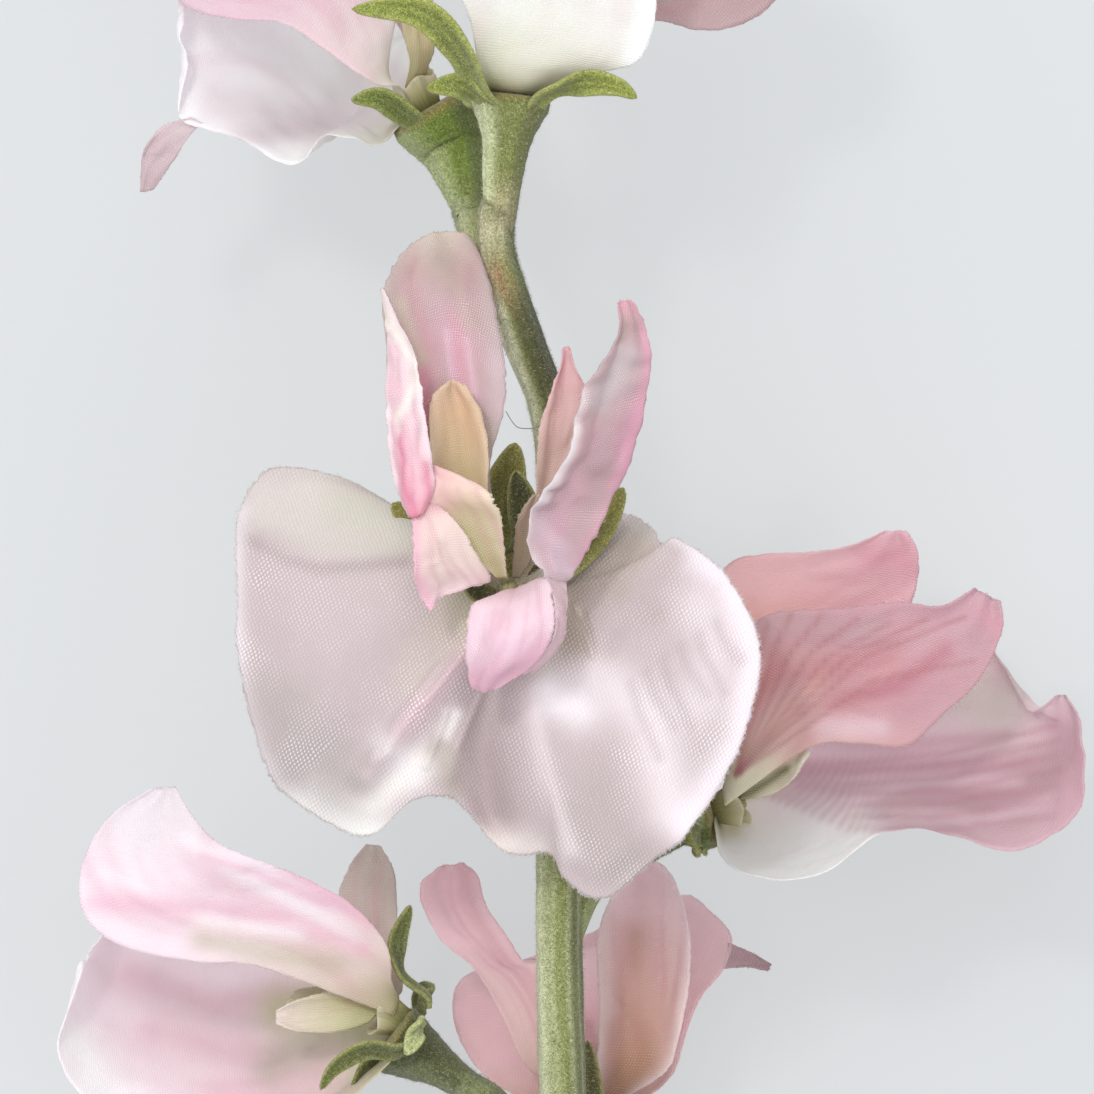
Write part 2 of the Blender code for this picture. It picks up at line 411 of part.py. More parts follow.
TOP_LEFT_BLOOM = {
    "hub": vec(-12.3, 46.1, 33), "axis": unit(vec(-0.5, 0.86, 0.04)), "stalk": vec(-8.7, 35.6, 38.4),
    "standard": {
        "petal": {"arc": (-50, -190), "bow": 0.06, "edges": (
            [(-3.4, -1.6, 2), (-5.5, -3.6, 3), (-8.4, -2.9, 4), (-11.3, -2.6, 4), (-13.7, -5.5, 3),
             (-16.3, -5.5, 2), (-20, -3.2, 1), (-24.9, -1.5, 1), (-26.5, -0.4, 0), (-25.6, 5, 0)],
            [(-1, 2.4, -10), (-2.1, 6.1, -23), (-3.2, 10.3, -35), (-4.7, 15.5, -35),
             (-8.4, 19.7, -31), (-13.7, 21.8, -22), (-20, 20.8, -12), (-25.2, 16.6, -5),
             (-26.5, 10.8, -1)])},
        "tip": [[(-25.4, -0.6, 0.4), (-24.8, -0.9, 0.4), (-24.2, -1.2, 0.6)],
                [(-28.6, -1.7, -0.5), (-27.3, -2.3, -0.5), (-25.6, -2.6, 0)],
                [(-30.5, -4.4, -1.5), (-29.2, -4.6, -1.4), (-27.1, -4.9, -1)],
                [(-30.8, -8.4, -2), (-30.3, -8.4, -2), (-29.4, -8.2, -1.8)]]},
    "wings": {
        "front": {"arc": (-40, -90), "bow": 0.06, "edges": (
            [(-3.4, 2.6, 4.4), (-6, 2.9, 5.4), (-10.8, 6.1, 6), (-15.6, 9.1, 6), (-21.2, 9.7, 6),
             (-26.3, 11.3, 6), (-28.4, 15.5, 6), (-26.8, 20.8, 6)],
            [(-4.6, 4.6, 1.2), (-3.8, 10, 2), (-4.4, 19.7, 3.2), (-8.4, 25, 4), (-14.7, 27.1, 5),
             (-22, 25, 6)])},
        "back": {"arc": (-170, -230), "bow": 0, "edges": (
            [(-2.4, 7, -3.4), (-5.4, 12, -4), (-10, 18, -5), (-13.5, 24, -6), (-12.5, 30, -6)],
            [(-2, 11, -3.4), (-2.8, 19, -3.6), (-4.4, 27, -4), (-8, 31, -5)])}},
    "keel": {
        "near": {"arc": (-50, 50), "bow": 0.1, "edges": (
            [(-2.2, 5.4, 3), (-3, 9, 4.8), (-2.6, 13.6, 6.6)],
            [(0.4, 6.6, 3.6), (0.4, 11, 5.6), (-0.8, 14.8, 7)])},
        "far": {"arc": (180, 130), "bow": 0, "edges": (
            [(-2.2, 5.4, -1.6), (-3, 9, -0.6), (-2.6, 12.6, 0.6)],
            [(0, 6.6, -1.2), (0, 10, -0.2), (-1, 13, 0.6)])}},
    "sepals": [
        ([(-3, -1.6, 4.8), (-5.6, 0.2, 7), (-8.4, -0.6, 8)], 2.6),
        ([(1, -0.6, 4.8), (0.4, 2, 7)], 2.6),
        ([(3.6, 0.6, -3), (4.2, 3.4, -4.6)], 2.6),
        ([(0, -1.2, -4.6), (-1.6, -0.8, -7)], 2.6),
        ([(-3.6, -4.4, -1), (-6, -6.2, -2.4)], 2.6)],
}

TOP_BLOOM = {
    "hub": vec(-3.8, 47.1, 43), "axis": unit(vec(0.1, 0.99, -0.04)), "stalk": vec(-5.1, 35.3, 43),
    "standard": {"petal": {"arc": (-70, 75), "bow": 0.08, "edges": (
        [(-2.7, 1.7, 2.6), (-3.5, 4, 4), (-4.3, 8.2, 5), (-5.9, 12.4, 5), (-7.5, 18.7, 5),
         (-6.4, 26, 4), (-2.2, 30.2, 3)],
        [(5.7, 2.2, 3), (9.3, 2.7, 4), (13.5, 4, 5), (15.1, 8.2, 6), (15.6, 12.4, 6),
         (18.8, 18.7, 5), (18.8, 25, 5), (14.6, 30.2, 5)])}},
    "wings": {
        "right": {"arc": (100, 165), "bow": 0.06, "edges": (
            [(4, 5.4, -1.6), (9, 7, -3), (15.1, 8.4, -4), (19.8, 7.5, -5), (24, 8, -6),
             (27.7, 10.3, -6), (29.3, 14.5, -6), (28.2, 19.7, -6)],
            [(3, 9, -2), (6, 13.4, -3), (11.4, 18.7, -4), (17.7, 22.9, -5), (24, 22.9, -6)])},
        "left": {"arc": (-100, -165), "bow": 0, "edges": (
            [(-1.4, 7, -2), (-4, 11, -3), (-6.6, 16, -4), (-7.4, 22, -5), (-5.6, 27, -6)],
            [(0.6, 10, -3), (1.4, 16, -4), (1, 24, -5), (-2, 28, -6)])}},
    "keel": {
        "left": {"arc": (-65, -15), "bow": 0, "edges": (
            [(-1.8, 7, -0.2), (-2.4, 10, -0.8), (-1.8, 14.6, -1.4)],
            [(-0.1, 7, 1), (-0.1, 11, 0.6), (-0.6, 15, -0.4)])},
        "right": {"arc": (15, 65), "bow": 0, "edges": (
            [(1, 7, 0.6), (1.4, 11, 0.4), (2, 15, -0.4)],
            [(2.8, 6.8, -0.2), (4, 10, -0.6), (3.8, 14, -1.2)])}},
    "sepals": [
        ([(-3, -0.6, 5), (-5, 4, 8.4), (-9, 8, 9.6), (-15.6, 8.6, 9)], 3.2),
        ([(-4.2, -1, 4), (-6, 0.4, 5.2), (-8.4, 0.6, 5.6)], 2.4),
        ([(4, -1, 4), (7.6, 0.6, 5.6), (12.6, 0.6, 6)], 2.6),
        ([(4, -0.8, -3.6), (6, 1, -6)], 3),
        ([(-3.2, -0.8, -4), (-4, 1.6, -7.4)], 3)],
}

BLOOMS = {"centre": CENTRE_BLOOM, "right": RIGHT_BLOOM, "low_left": LOW_LEFT_BLOOM,
          "low_back": LOW_BACK_BLOOM, "top_left": TOP_LEFT_BLOOM, "top": TOP_BLOOM}

STEM_PATH = [(3, -128, 2.3), (4, -112, 5.4), (4, -92, 13), (2.8, -74, 20.6), (1.6, -57.4, 26.6),
             (1.2, -37, 31), (1.2, -10, 36), (0.2, 11.2, 40), (-2, 21.7, 42), (-4.4, 30, 43),
             (-5.1, 34.5, 43)]
STEM_RADII = [2.6, 2.6, 2.5, 2.5, 2.45, 2.4, 2.35, 2.3, 2.25, 2.15, 2.1]
# Each stalk leaves the stem at the first point and runs on to the foot of its calyx.
STALKS = {
    "centre": [(1.2, -18, 34.4), (-1.4, -13, 33.6)],
    "right": [(1.6, -43, 29.6), (4.4, -36.4, 28.4)],
    "low_left": [(2.6, -72, 21.2), (-1.6, -63.4, 23.4)],
    "low_back": [(3.8, -90, 13.6), (4, -81, 13.6)],
    "top_left": [(0.2, 11.2, 39.6), (-3.8, 22, 40.8)],
}


# ---------------------------------------------------------------- making the pieces
def lobe(bloom, shape, layer):
    """Grid of one petal lobe: a fan to its margin, a blade between two edges, or rows of points."""
    hub, axis = bloom["hub"], bloom["axis"]
    root = hub + axis * LAYERS[layer]
    if "margin" in shape:
        margin = hub + np.array(shape["margin"], float)
        return fan(margin, root, axis, shape["arc"], shape["spread"], *FAN_GRID)
    if "edges" in shape:
        edges = [hub + np.array(edge, float) for edge in shape["edges"]]
        return blade(edges, root, axis, shape["arc"], SHOULDERS[layer], shape["bow"], *BLADE_GRID[layer])
    rows = hub + np.array(shape, float)
    return patch(rows, len(rows) + 1, len(rows[0]) + 1 if len(rows[0]) > 3 else 3)


def disc(bloom, layer):
    """Small disc that ties the lobes of one layer together at the hub."""
    middle = bloom["hub"] + bloom["axis"] * LAYERS[layer]
    if layer == "keel" and bloom is CENTRE_BLOOM:
        middle = middle + vec(0, 1.5, 0)
    reach = bloom["axis"] * DISC_DEEP / 2
    return tube([middle - reach, middle + reach], [DISCS[layer]] * 2, 10, 1)


def layer_of_cloth(layer, name, bloom, finish):
    """One stamped layer: its lobes, fused to the disc they spread from."""
    pieces = [disc(bloom, layer)]
    for shape in bloom[layer].values():
        pieces.append(solid_sheet(lobe(bloom, shape, layer), CLOTH))
    return fuse(f"{layer}_{name}", pieces, finish)


def calyx_knee(bloom):
    """Where the calyx turns from its foot to the bloom's axis."""
    mouth = bloom["hub"] - bloom["axis"] * 0.35
    return mouth - bloom["axis"] * 0.35 * np.linalg.norm(mouth - bloom["stalk"])


def calyx(name, bloom, finish):
    """Solid cone that widens from the stalk to the hub, with five sepals round its mouth."""
    hub, axis, foot = bloom["hub"], bloom["axis"], bloom["stalk"]
    mouth = hub - axis * 0.35
    knee = calyx_knee(bloom)
    path = [foot, 0.5 * (foot + knee), knee, mouth]
    pieces = [tube(path, [2.1, 2.3, 2.8, 3.7], 12, 6)]
    for spine, width in bloom["sepals"]:
        points = np.array(spine, float)
        out = unit(points[0] - (points[0] @ axis) * axis)
        root = [-1.3 * axis, 3.5 * out - 1.0 * axis]
        pieces.append(solid_sheet(leaf(hub + np.concatenate([root, points]), width, axis), SEPAL))
    return fuse("calyx_" + name, pieces, finish)


def stem(finish):
    pieces = [tube(STEM_PATH, STEM_RADII, STEM_SIDES, 26, RIB_DEPTH)]
    for name, start in STALKS.items():
        bloom = BLOOMS[name]
        foot = bloom["stalk"]
        toward = unit(calyx_knee(bloom) - foot)
        path = start + [foot - toward * 3, foot - toward * CLEAR]
        pieces.append(tube(path, [1.9, 1.9, 1.95, 2], 9, 7))
    return fuse("stem", pieces, finish)


for old in list(bpy.data.objects):
    bpy.data.objects.remove(old)

green = material("calyx_green", (0.30, 0.38, 0.12), 0.8)
flock = material("stem_flock", (0.42, 0.47, 0.27), 0.95)
pale = material("standard_cloth", (0.90, 0.80, 0.82), 0.55)
pink = material("wing_cloth", (0.88, 0.62, 0.69), 0.6)
cream = material("keel_cloth", (0.78, 0.70, 0.52), 0.6)

stem(flock)
for bloom_name, bloom_shape in BLOOMS.items():
    calyx(bloom_name, bloom_shape, green)
    layer_of_cloth("standard", bloom_name, bloom_shape, pale)
    layer_of_cloth("wings", bloom_name, bloom_shape, pink)
    layer_of_cloth("keel", bloom_name, bloom_shape, cream)
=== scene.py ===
# %% [markdown]
# # A spray of fabric sweet peas
# The object is an artificial flower: six butterfly-shaped blooms of sheer woven cloth, wired to one
# stem that is covered with a short green fur, called flock. The solids of the part are already made
# and stay as they are for physics. Here each solid is replaced by a finer piece that has the same
# form: thin cloth with a weave, pressed veins and frayed edges, and green parts with real hairs.

import bpy
import numpy as np
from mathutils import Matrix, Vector


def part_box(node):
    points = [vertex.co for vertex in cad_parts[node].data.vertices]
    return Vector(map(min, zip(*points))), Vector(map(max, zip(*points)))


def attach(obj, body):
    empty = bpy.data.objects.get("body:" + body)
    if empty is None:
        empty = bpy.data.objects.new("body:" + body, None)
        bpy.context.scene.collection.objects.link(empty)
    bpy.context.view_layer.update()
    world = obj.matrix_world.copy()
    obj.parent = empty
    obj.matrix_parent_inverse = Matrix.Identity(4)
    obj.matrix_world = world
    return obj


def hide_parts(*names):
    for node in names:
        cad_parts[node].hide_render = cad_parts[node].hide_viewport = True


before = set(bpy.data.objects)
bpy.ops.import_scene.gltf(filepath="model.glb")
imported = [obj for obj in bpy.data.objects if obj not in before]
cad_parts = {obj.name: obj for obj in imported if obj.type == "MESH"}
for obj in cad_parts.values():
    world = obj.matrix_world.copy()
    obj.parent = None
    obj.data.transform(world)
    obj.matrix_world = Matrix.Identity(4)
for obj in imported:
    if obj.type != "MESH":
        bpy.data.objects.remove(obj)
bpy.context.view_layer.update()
MM = 0.001
chance = np.random.default_rng(7)

# %% [markdown]
# ## Curves
# A petal maker starts from an outline. Here an outline is a handful of points, and a Catmull-Rom
# curve runs smoothly through them. It is a good choice when the shape must pass exactly through
# chosen points, which a Bezier or NURBS curve only does with more handles.


# %% Curves through points
def vec(*xyz):
    """A point or a direction from its three numbers."""
    return np.array(xyz, float)


def unit(v):
    """v divided by its length."""
    return v / np.maximum(np.linalg.norm(v, axis=-1, keepdims=True), 1e-9)


def spline(points, steps):
    """Catmull-Rom curve: between b and c it is the cubic that leaves b along (c - a) / 2 and
    arrives at c along (d - b) / 2, where a and d are the points before and after."""
    p = np.asarray(points, float)
    ends = np.concatenate([[2 * p[0] - p[1]], p, [2 * p[-1] - p[-2]]])
    t = np.linspace(0, len(p) - 1, steps + 1)
    i = np.minimum(t.astype(int), len(p) - 2)
    f = (t - i)[:, None]
    a, b, c, d = ends[i], ends[i + 1], ends[i + 2], ends[i + 3]
    return 0.5 * (2 * b + (c - a) * f + (2 * a - 5 * b + 4 * c - d) * f ** 2
                  + (3 * b - a - 3 * c + d) * f ** 3)


def lengths(line):
    """Distance along a polyline from its start to each of its points."""
    return np.concatenate([[0], np.cumsum(np.linalg.norm(np.diff(line, axis=0), axis=1))])


def even(points, steps):
    """The same curve with its points at equal distances along it."""
    fine = spline(points, 12 * len(points))
    run = lengths(fine)
    want = np.linspace(0, run[-1], steps + 1)
    return np.stack([np.interp(want, run, fine[:, k]) for k in range(3)], axis=1)


def around(axis):
    """Two directions square to the axis: towards +Z (or +X if it is upright), then a right turn."""
    first = vec(1, 0, 0) if abs(axis[2]) > 0.9 else vec(0, 0, 1)
    first = unit(first - (first @ axis) * axis)
    return first, np.cross(axis, first)


print("points of a curve in 4 steps:",
      even([vec(0, 0, 0), vec(1, 1, 0), vec(2, 0, 0)], 4).round(2).tolist())

# %% [markdown]
# ## Three kinds of petal surface
# Every petal is a grid of points that depends on two parameters, along the petal and across it.
# A *fan* suits a petal that opens flat round its root. A *blade* suits a petal seen from its side,
# whose two long edges are known. A *patch* goes through rows of points, for folds and ribbons.
# All three leave the middle of their layer of cloth in the same way as the solids do.

# %% Petal surfaces
LAYERS = {"standard": 0.65, "wings": 2.15, "keel": 3.6}   # each layer's height on the bloom's axis, in mm
SHOULDERS = {"standard": 2.9, "wings": 2.3, "keel": 1.4}  # how far out a layer runs flat, in mm
ROOT = 0.4                                                # where a petal starts, as a share of that


def spread_out(axis, arc, count):
    """Directions square to the axis at count evenly spaced angles of an arc in degrees."""
    first, second = around(axis)
    angle = np.radians(np.linspace(*arc, count))[:, None]
    return first * np.cos(angle) + second * np.sin(angle)


def fan(margin, root, axis, arc, spread, rings, spokes):
    """Spoke curves (1-v)^2 start + 2v(1-v) bend + v^2 edge, from an arc round root to the margin."""
    edge = spline(margin, spokes)
    out = spread_out(axis, arc, spokes + 1)
    start = root + ROOT * SHOULDERS["standard"] * out
    bend = start + spread * np.linalg.norm(edge - root, axis=1, keepdims=True) * out
    v = np.linspace(0, 1, rings + 1)[:, None, None]
    return (1 - v) ** 2 * start + 2 * v * (1 - v) * bend + v ** 2 * edge


def blade(edges, root, axis, arc, shoulder, bow, along, across):
    """Rows a(s) + t (b(s) - a(s)) between two edges, bowed by 4 t (1 - t), and round at the root."""
    out = spread_out(axis, arc, across + 1)
    a, b = (even(np.concatenate([[root + shoulder * side], edge]), along)
            for side, edge in zip((out[0], out[-1]), edges))
    t = np.linspace(0, 1, across + 1)[None, :, None]
    fade = (1 - np.linspace(0, 1, along + 1)[:, None, None]) ** 3
    width = b - a
    square = unit(np.cross(np.gradient((a + b) / 2, axis=0), width))
    rise = (bow * np.linalg.norm(width, axis=1, keepdims=True) * square)[:, None]
    round_off = shoulder * (out[None] - out[0] * (1 - t) - out[-1] * t)
    rows = a[:, None] + width[:, None] * t + (1 - fade) * rise * 4 * t * (1 - t) + fade * round_off
    return np.concatenate([(root + ROOT * shoulder * out)[None], rows])


def patch(rows, along, across):
    """Each row of points is splined across, and then the columns are splined along."""
    lines = np.array([spline(row, across) for row in rows])
    return np.stack([spline(lines[:, k], along) for k in range(across + 1)], axis=1)


print("layers and their heights in mm:", LAYERS)

# %% [markdown]
# ## Relief
# The cloth of such a flower is pressed hot between two dies, which leave veins, creases and curled
# edges. A bump map alone would leave the outline and the light on the petal too smooth, so the
# larger marks are moved in the mesh. Each mark is a function of the distance to a line drawn on the
# petal, and the marks are added up and applied along the surface's normals.


# %% Marks pressed in the cloth
def distance(spots, line):
    """Distance from each spot to the nearest point of a polyline in the plane."""
    a, b = np.asarray(line[:-1], float), np.asarray(line[1:], float)
    ab = b - a
    rel = spots[..., None, :] - a
    t = np.clip((rel * ab).sum(-1) / (ab ** 2).sum(-1), 0, 1)
    return np.linalg.norm(rel - t[..., None] * ab, axis=-1).min(-1)


def ridge(spots, line, height, width):
    """height * exp(-(d / width)^2), where d is the distance to the line; negative heights are grooves."""
    return height * np.exp(-(distance(spots, line) / width) ** 2)


def fold(spots, start, end, slope, soft):
    """Ramp that falls by slope on the left of the line from start to end, rounded over soft."""
    ahead = unit(vec(*end) - start)
    rel = spots - vec(*start)
    left = rel[..., 1] * ahead[0] - rel[..., 0] * ahead[1]
    return -slope * 0.5 * (left + np.sqrt(left ** 2 + soft ** 2))


def normals(grid):
    """Cross product of the two directions along the grid, made one long."""
    return unit(np.cross(np.gradient(grid, axis=0), np.gradient(grid, axis=1)))


def smooth(x, low, high):
    """0 below low, 1 above high, and 3 t^2 - 2 t^3 between."""
    t = np.clip((x - low) / (high - low), 0, 1)
    return t * t * (3 - 2 * t)


def cloth_plane(grid):
    """Flat coordinates in mm on the cloth: distance from the middle column and from the root."""
    middle = grid.shape[1] // 2
    along = lengths(grid[:, middle])[:, None] + np.zeros(grid.shape[:2])
    steps = np.linalg.norm(np.diff(grid, axis=1), axis=2)
    run = np.concatenate([np.zeros((grid.shape[0], 1)), np.cumsum(steps, axis=1)], axis=1)
    return np.stack([run - run[:, middle:middle + 1], along], -1)


def creases(grid, count, height, width, seed):
    """Ridges and grooves along random lines that start near the root and fan out to the tip."""
    draw = np.random.default_rng(seed)
    flat = cloth_plane(grid)
    long, half = flat[..., 1].max(), np.abs(flat[..., 0]).max()
    total = np.zeros(grid.shape[:2])
    for side in draw.uniform(-0.8, 0.8, count):
        low, high = np.sort(draw.uniform(0.12, 1, 2)) * long
        line = [(0.5 * side * half, low), (side * half * 0.85 + draw.normal() * 0.4, 0.5 * (low + high)),
                (side * half + draw.normal() * 0.6, high)]
        total += ridge(flat, line, height * draw.uniform(-1, 1), width * draw.uniform(0.6, 1.4))
    return total


def crumple(grid, size, depth, seed):
    """Crushed cloth: the sum of five waves |sin| with wavelengths near size mm in random directions."""
    draw = np.random.default_rng(seed)
    flat = cloth_plane(grid)
    total = np.zeros(grid.shape[:2])
    for angle in draw.uniform(0, np.pi, 5):
        pace = np.pi / (size * draw.uniform(0.7, 1.5))
        turn = pace * (flat[..., 0] * np.cos(angle) + flat[..., 1] * np.sin(angle)) + draw.uniform(0, 6.3)
        total += np.abs(np.sin(turn + 0.5 * np.sin(0.7 * turn))) - 0.64
    return depth * total / 2


def streaks(grid, count, seed):
    """Soft dye lines from root to tip, 0 to 1: the sum of exp(-(d / width)^2) over random lines."""
    draw = np.random.default_rng(seed)
    flat = cloth_plane(grid)
    v = np.linspace(0, 1, grid.shape[0])[:, None]
    u = flat[..., 0] / max(np.abs(flat[..., 0]).max(), 1)
    total = np.zeros(grid.shape[:2])
    for place in draw.uniform(-0.95, 0.95, count):
        bend = 0.10 * np.sin(4 * v + draw.uniform(0, 6.3))
        mid, reach = draw.uniform(0.25, 0.8), draw.uniform(0.12, 0.4)
        strength, width = draw.uniform(0.3, 1), draw.uniform(0.03, 0.14)
        off = (u - place * (0.4 + 0.6 * v) - bend) / width
        total += strength * np.exp(-off ** 2 - ((v - mid) / reach) ** 2)
    return np.clip(total, 0, 1)


def ruffle(grid, waves, depth, seed):
    """Waves along the free edges: depth * sin(waves turns), growing towards the edge."""
    rows, columns = grid.shape[:2]
    v = np.linspace(0, 1, rows)[:, None]
    u = np.linspace(-1, 1, columns)[None, :]
    near = np.maximum(smooth(v, 0.55, 1), smooth(np.abs(u), 0.5, 1) * smooth(v, 0.15, 0.5))
    return depth * near * np.sin(2 * np.pi * waves * (0.8 * v + 0.6 * u) + seed)


print("a ridge's height at its line and one width away:",
      ridge(np.array([(0, 0), (0, 1)]), [(-1, 0), (1, 0)], 1, 1).round(3).tolist())


# %% [markdown]
# ## Thin closed sheets
# Real petal cloth is about 0.2 mm thick. A single layer of faces would have no inside and would
# show its back as a hole, so each sheet gets two faces and a rim. The sheet also carries two things
# for its material: a UV map in millimetres along the cloth, so that threads have their true size,
# and a tint at each point, because the dye of such petals runs softly from the root to the edge; the
# tint also holds painted shade and painted highlights. The tint's fourth number is its painted sheen:
# how strongly the weave's painted highlights show there.

# %% Sheets
THICK = 0.2       # of the petals' cloth, in mm
CUT_EDGE = 0.45   # how much of it the hot cutter leaves at an edge


def turned(flat, degrees):
    """Flat coordinates turned about their origin: (x cos - y sin, x sin + y cos)."""
    x, y, a = flat[..., 0], flat[..., 1], np.radians(degrees)
    return np.stack([x * np.cos(a) - y * np.sin(a), x * np.sin(a) + y * np.cos(a)], -1)


def cloth_map(grid, degrees):
    """UV in mm: the flat coordinates of the cloth, turned by the angle at which it was cut."""
    return turned(cloth_plane(grid), degrees)


def thin_sheet(grid, uv, tint, thickness=THICK):
    """The grid moved half the thickness to each side along its normals, less at the cut edge, and a
    rim round both. Cloth that would sink into the floor is laid on it."""
    n, m = grid.shape[:2]
    grid = np.concatenate([grid[..., :2], np.maximum(grid[..., 2:], 0.6 * thickness)], -1)
    pressed = np.ones((n, m, 1))
    pressed[-1] = pressed[:, 0] = pressed[:, -1] = CUT_EDGE
    side = normals(grid) * pressed * thickness / 2
    points = np.concatenate([(grid + side).reshape(-1, 3), (grid - side).reshape(-1, 3)])
    index = np.arange(n * m).reshape(n, m)
    top = np.stack([index[:-1, :-1], index[1:, :-1], index[1:, 1:], index[:-1, 1:]], -1).reshape(-1, 4)
    loop = np.concatenate([index[:-1, 0], index[-1, :-1], index[:0:-1, -1], index[0, :0:-1]])
    after = np.roll(loop, -1)
    rim = np.stack([after, loop, loop + n * m, after + n * m], 1)
    faces = np.concatenate([top, top[:, ::-1] + n * m, rim])
    return {"points": points, "quads": faces, "flat": len(rim), "uv": np.tile(uv.reshape(-1, 2), (2, 1)),
            "tint": np.tile(tint.reshape(-1, 3), (2, 1))}


print("cloth in mm:", THICK, "and at its cut edges:", round(THICK * CUT_EDGE, 2))

# %% [markdown]
# ## Bars and fibres
# A round bar makes the stem, the stalks and the calyces' cones. It keeps its rings of points, so that
# hairs can be planted on it later. A hair is a spike of four faces, the fewest that close a solid.


# %% Bars and fibres
SUNK = 0.05                  # how deep a hair's foot sits below its root, in mm
THIRDS = (0, 2.094, 4.189)   # a third and two thirds of a turn, in radians


def bar(line, radius, sides, swell, tint):
    """Closed round bar: ring i is the circle of radius[i] * swell(i, angle) square to the line."""
    t = unit(np.gradient(line, axis=0))
    across = unit(np.cross(t, vec(0.12, 0.05, 1)))
    upward = np.cross(t, across)
    angle = np.arange(sides) * 2 * np.pi / sides
    turn = angle[None, :, None]
    out = across[:, None] * np.cos(turn) + upward[:, None] * np.sin(turn)
    along = lengths(line)[:, None] + np.zeros((1, sides))
    ring = line[:, None] + out * (radius[:, None] * swell(along, angle[None, :]))[..., None]
    points = np.concatenate([ring.reshape(-1, 3), line[:1], line[-1:]])
    points[:, 2] = np.maximum(points[:, 2], 0)
    n = len(line)
    index = np.arange(n * sides).reshape(n, sides)
    nxt = np.roll(index, -1, axis=1)
    quads = np.stack([index[:-1], nxt[:-1], nxt[1:], index[1:]], -1).reshape(-1, 4)
    ends = np.concatenate([np.stack([index[0], np.full(sides, n * sides), nxt[0]], 1),
                           np.stack([nxt[-1], np.full(sides, n * sides + 1), index[-1]], 1)])
    uv = np.stack([along, radius[:, None] * angle[None, :]], -1).reshape(-1, 2)
    colour = tint(along / along.max(), angle[None, :], ring)
    return {"points": points, "quads": quads, "triangles": ends, "ring": ring, "out": out,
            "uv": np.concatenate([uv, uv[:1], uv[-1:]]),
            "tint": np.concatenate([colour.reshape(-1, 3), colour[0, :1], colour[-1, :1]])}


def fibres(roots, ways, size, radius, tint):
    """Tiny closed spikes: a triangle of the radius round each root, and a point size away along ways."""
    ways = unit(ways)
    side = unit(np.cross(ways, vec(0.3, 0.5, 0.8)))
    other = np.cross(ways, side)
    corners = [roots - ways * SUNK + radius * (side * np.cos(a) + other * np.sin(a)) for a in THIRDS]
    points = np.stack(corners + [roots + ways * size[:, None]], 1).reshape(-1, 3)
    points[:, 2] = np.maximum(points[:, 2], 0)
    start = 4 * np.arange(len(roots))[:, None, None]
    shape = np.array([[0, 1, 3], [1, 2, 3], [2, 0, 3], [0, 2, 1]])[None]
    return {"points": points, "triangles": (start + shape).reshape(-1, 3),
            "uv": np.zeros((len(points), 2)), "tint": np.repeat(tint, 4, axis=0)}


one_hair = fibres(np.zeros((1, 3)), vec(0, 0, 1)[None], np.ones(1), 0.02, np.zeros((1, 3)))
print("points and faces of one hair:", len(one_hair["points"]), len(one_hair["triangles"]))

# %% [markdown]
# ## Pieces
# A piece is one object with one material. Its meshes are filled from whole arrays, which is many
# times faster than adding vertices one by one. Every piece rides on the part's only body, and the
# pieces of cloth, the calyces and the stem each replace the solid they stand for.


# %% Make an object of several meshes
def piece(name, parts, finish, node=None):
    """One object from several parts: points, UV and tint go in as whole arrays. Rims stay flat shaded,
    so that they don't bend the light on the faces beside them."""
    points, uv, tint, loops, totals, curved, start = [], [], [], [], [], [], 0
    for part in parts:
        points.append(part["points"])
        uv.append(part["uv"])
        # The tint's fourth number is the painted sheen: how strongly the weave's painted highlights show.
        shine = part.get("shine", np.ones(len(part["tint"])))
        tint.append(np.concatenate([part["tint"], shine[:, None]], 1))
        for key, corners in (("quads", 4), ("triangles", 3)):
            if key in part and len(part[key]):
                loops.append((part[key] + start).ravel())
                totals.append(np.full(len(part[key]), corners))
                curved.append(np.arange(len(part[key])) < len(part[key]) - part.get("flat", 0))
        start += len(part["points"])
    points, uv, tint = np.concatenate(points), np.concatenate(uv), np.concatenate(tint)
    loops, totals = np.concatenate(loops), np.concatenate(totals)
    mesh = bpy.data.meshes.new(name)
    mesh.vertices.add(len(points))
    mesh.vertices.foreach_set("co", ((points + shift) * MM).astype(np.float32).ravel())
    mesh.loops.add(len(loops))
    mesh.loops.foreach_set("vertex_index", loops.astype(np.int32))
    mesh.polygons.add(len(totals))
    mesh.polygons.foreach_set("loop_start", (np.cumsum(totals) - totals).astype(np.int32))
    mesh.update(calc_edges=True)
    mesh.uv_layers.new(name="cloth").data.foreach_set("uv", uv[loops].astype(np.float32).ravel())
    colour = mesh.color_attributes.new("tint", "FLOAT_COLOR", "POINT")
    colour.data.foreach_set("color", tint.astype(np.float32).ravel())
    mesh.polygons.foreach_set("use_smooth", np.concatenate(curved))
    mesh.validate()
    mesh.materials.append(finish)
    obj = bpy.data.objects.new(name, mesh)
    bpy.context.scene.collection.objects.link(obj)
    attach(obj, "root")
    if node:
        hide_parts(node)
    print(f"{name}: {len(points)} points, {int((totals - 2).sum())} triangles")


# %% [markdown]
# ## Dyes and painted light
# The cloth is dyed in soft washes. Each lobe has colours at stations from its root to its tip, and
# may have a colour that its side edges run to. Brush strokes then lay other colours over the wash:
# more dye, and also painted shade and painted highlights. A few washes hold painted shade as well. A
# shader works with linear light, so each colour of a screen is turned into it once, at the start.


# %% Washes of colour
def dye(code):
    """A colour named by its two-digit hexadecimal screen values, as the linear numbers of a shader."""
    c = np.array([int(code[k:k + 2], 16) for k in (0, 2, 4)]) / 255
    return np.where(c <= 0.04045, c / 12.92, ((c + 0.055) / 1.055) ** 2.4)


def toward(tint, colour, share):
    """tint + share * (colour - tint), with a share for each point."""
    return tint + (colour - tint) * share[..., None]


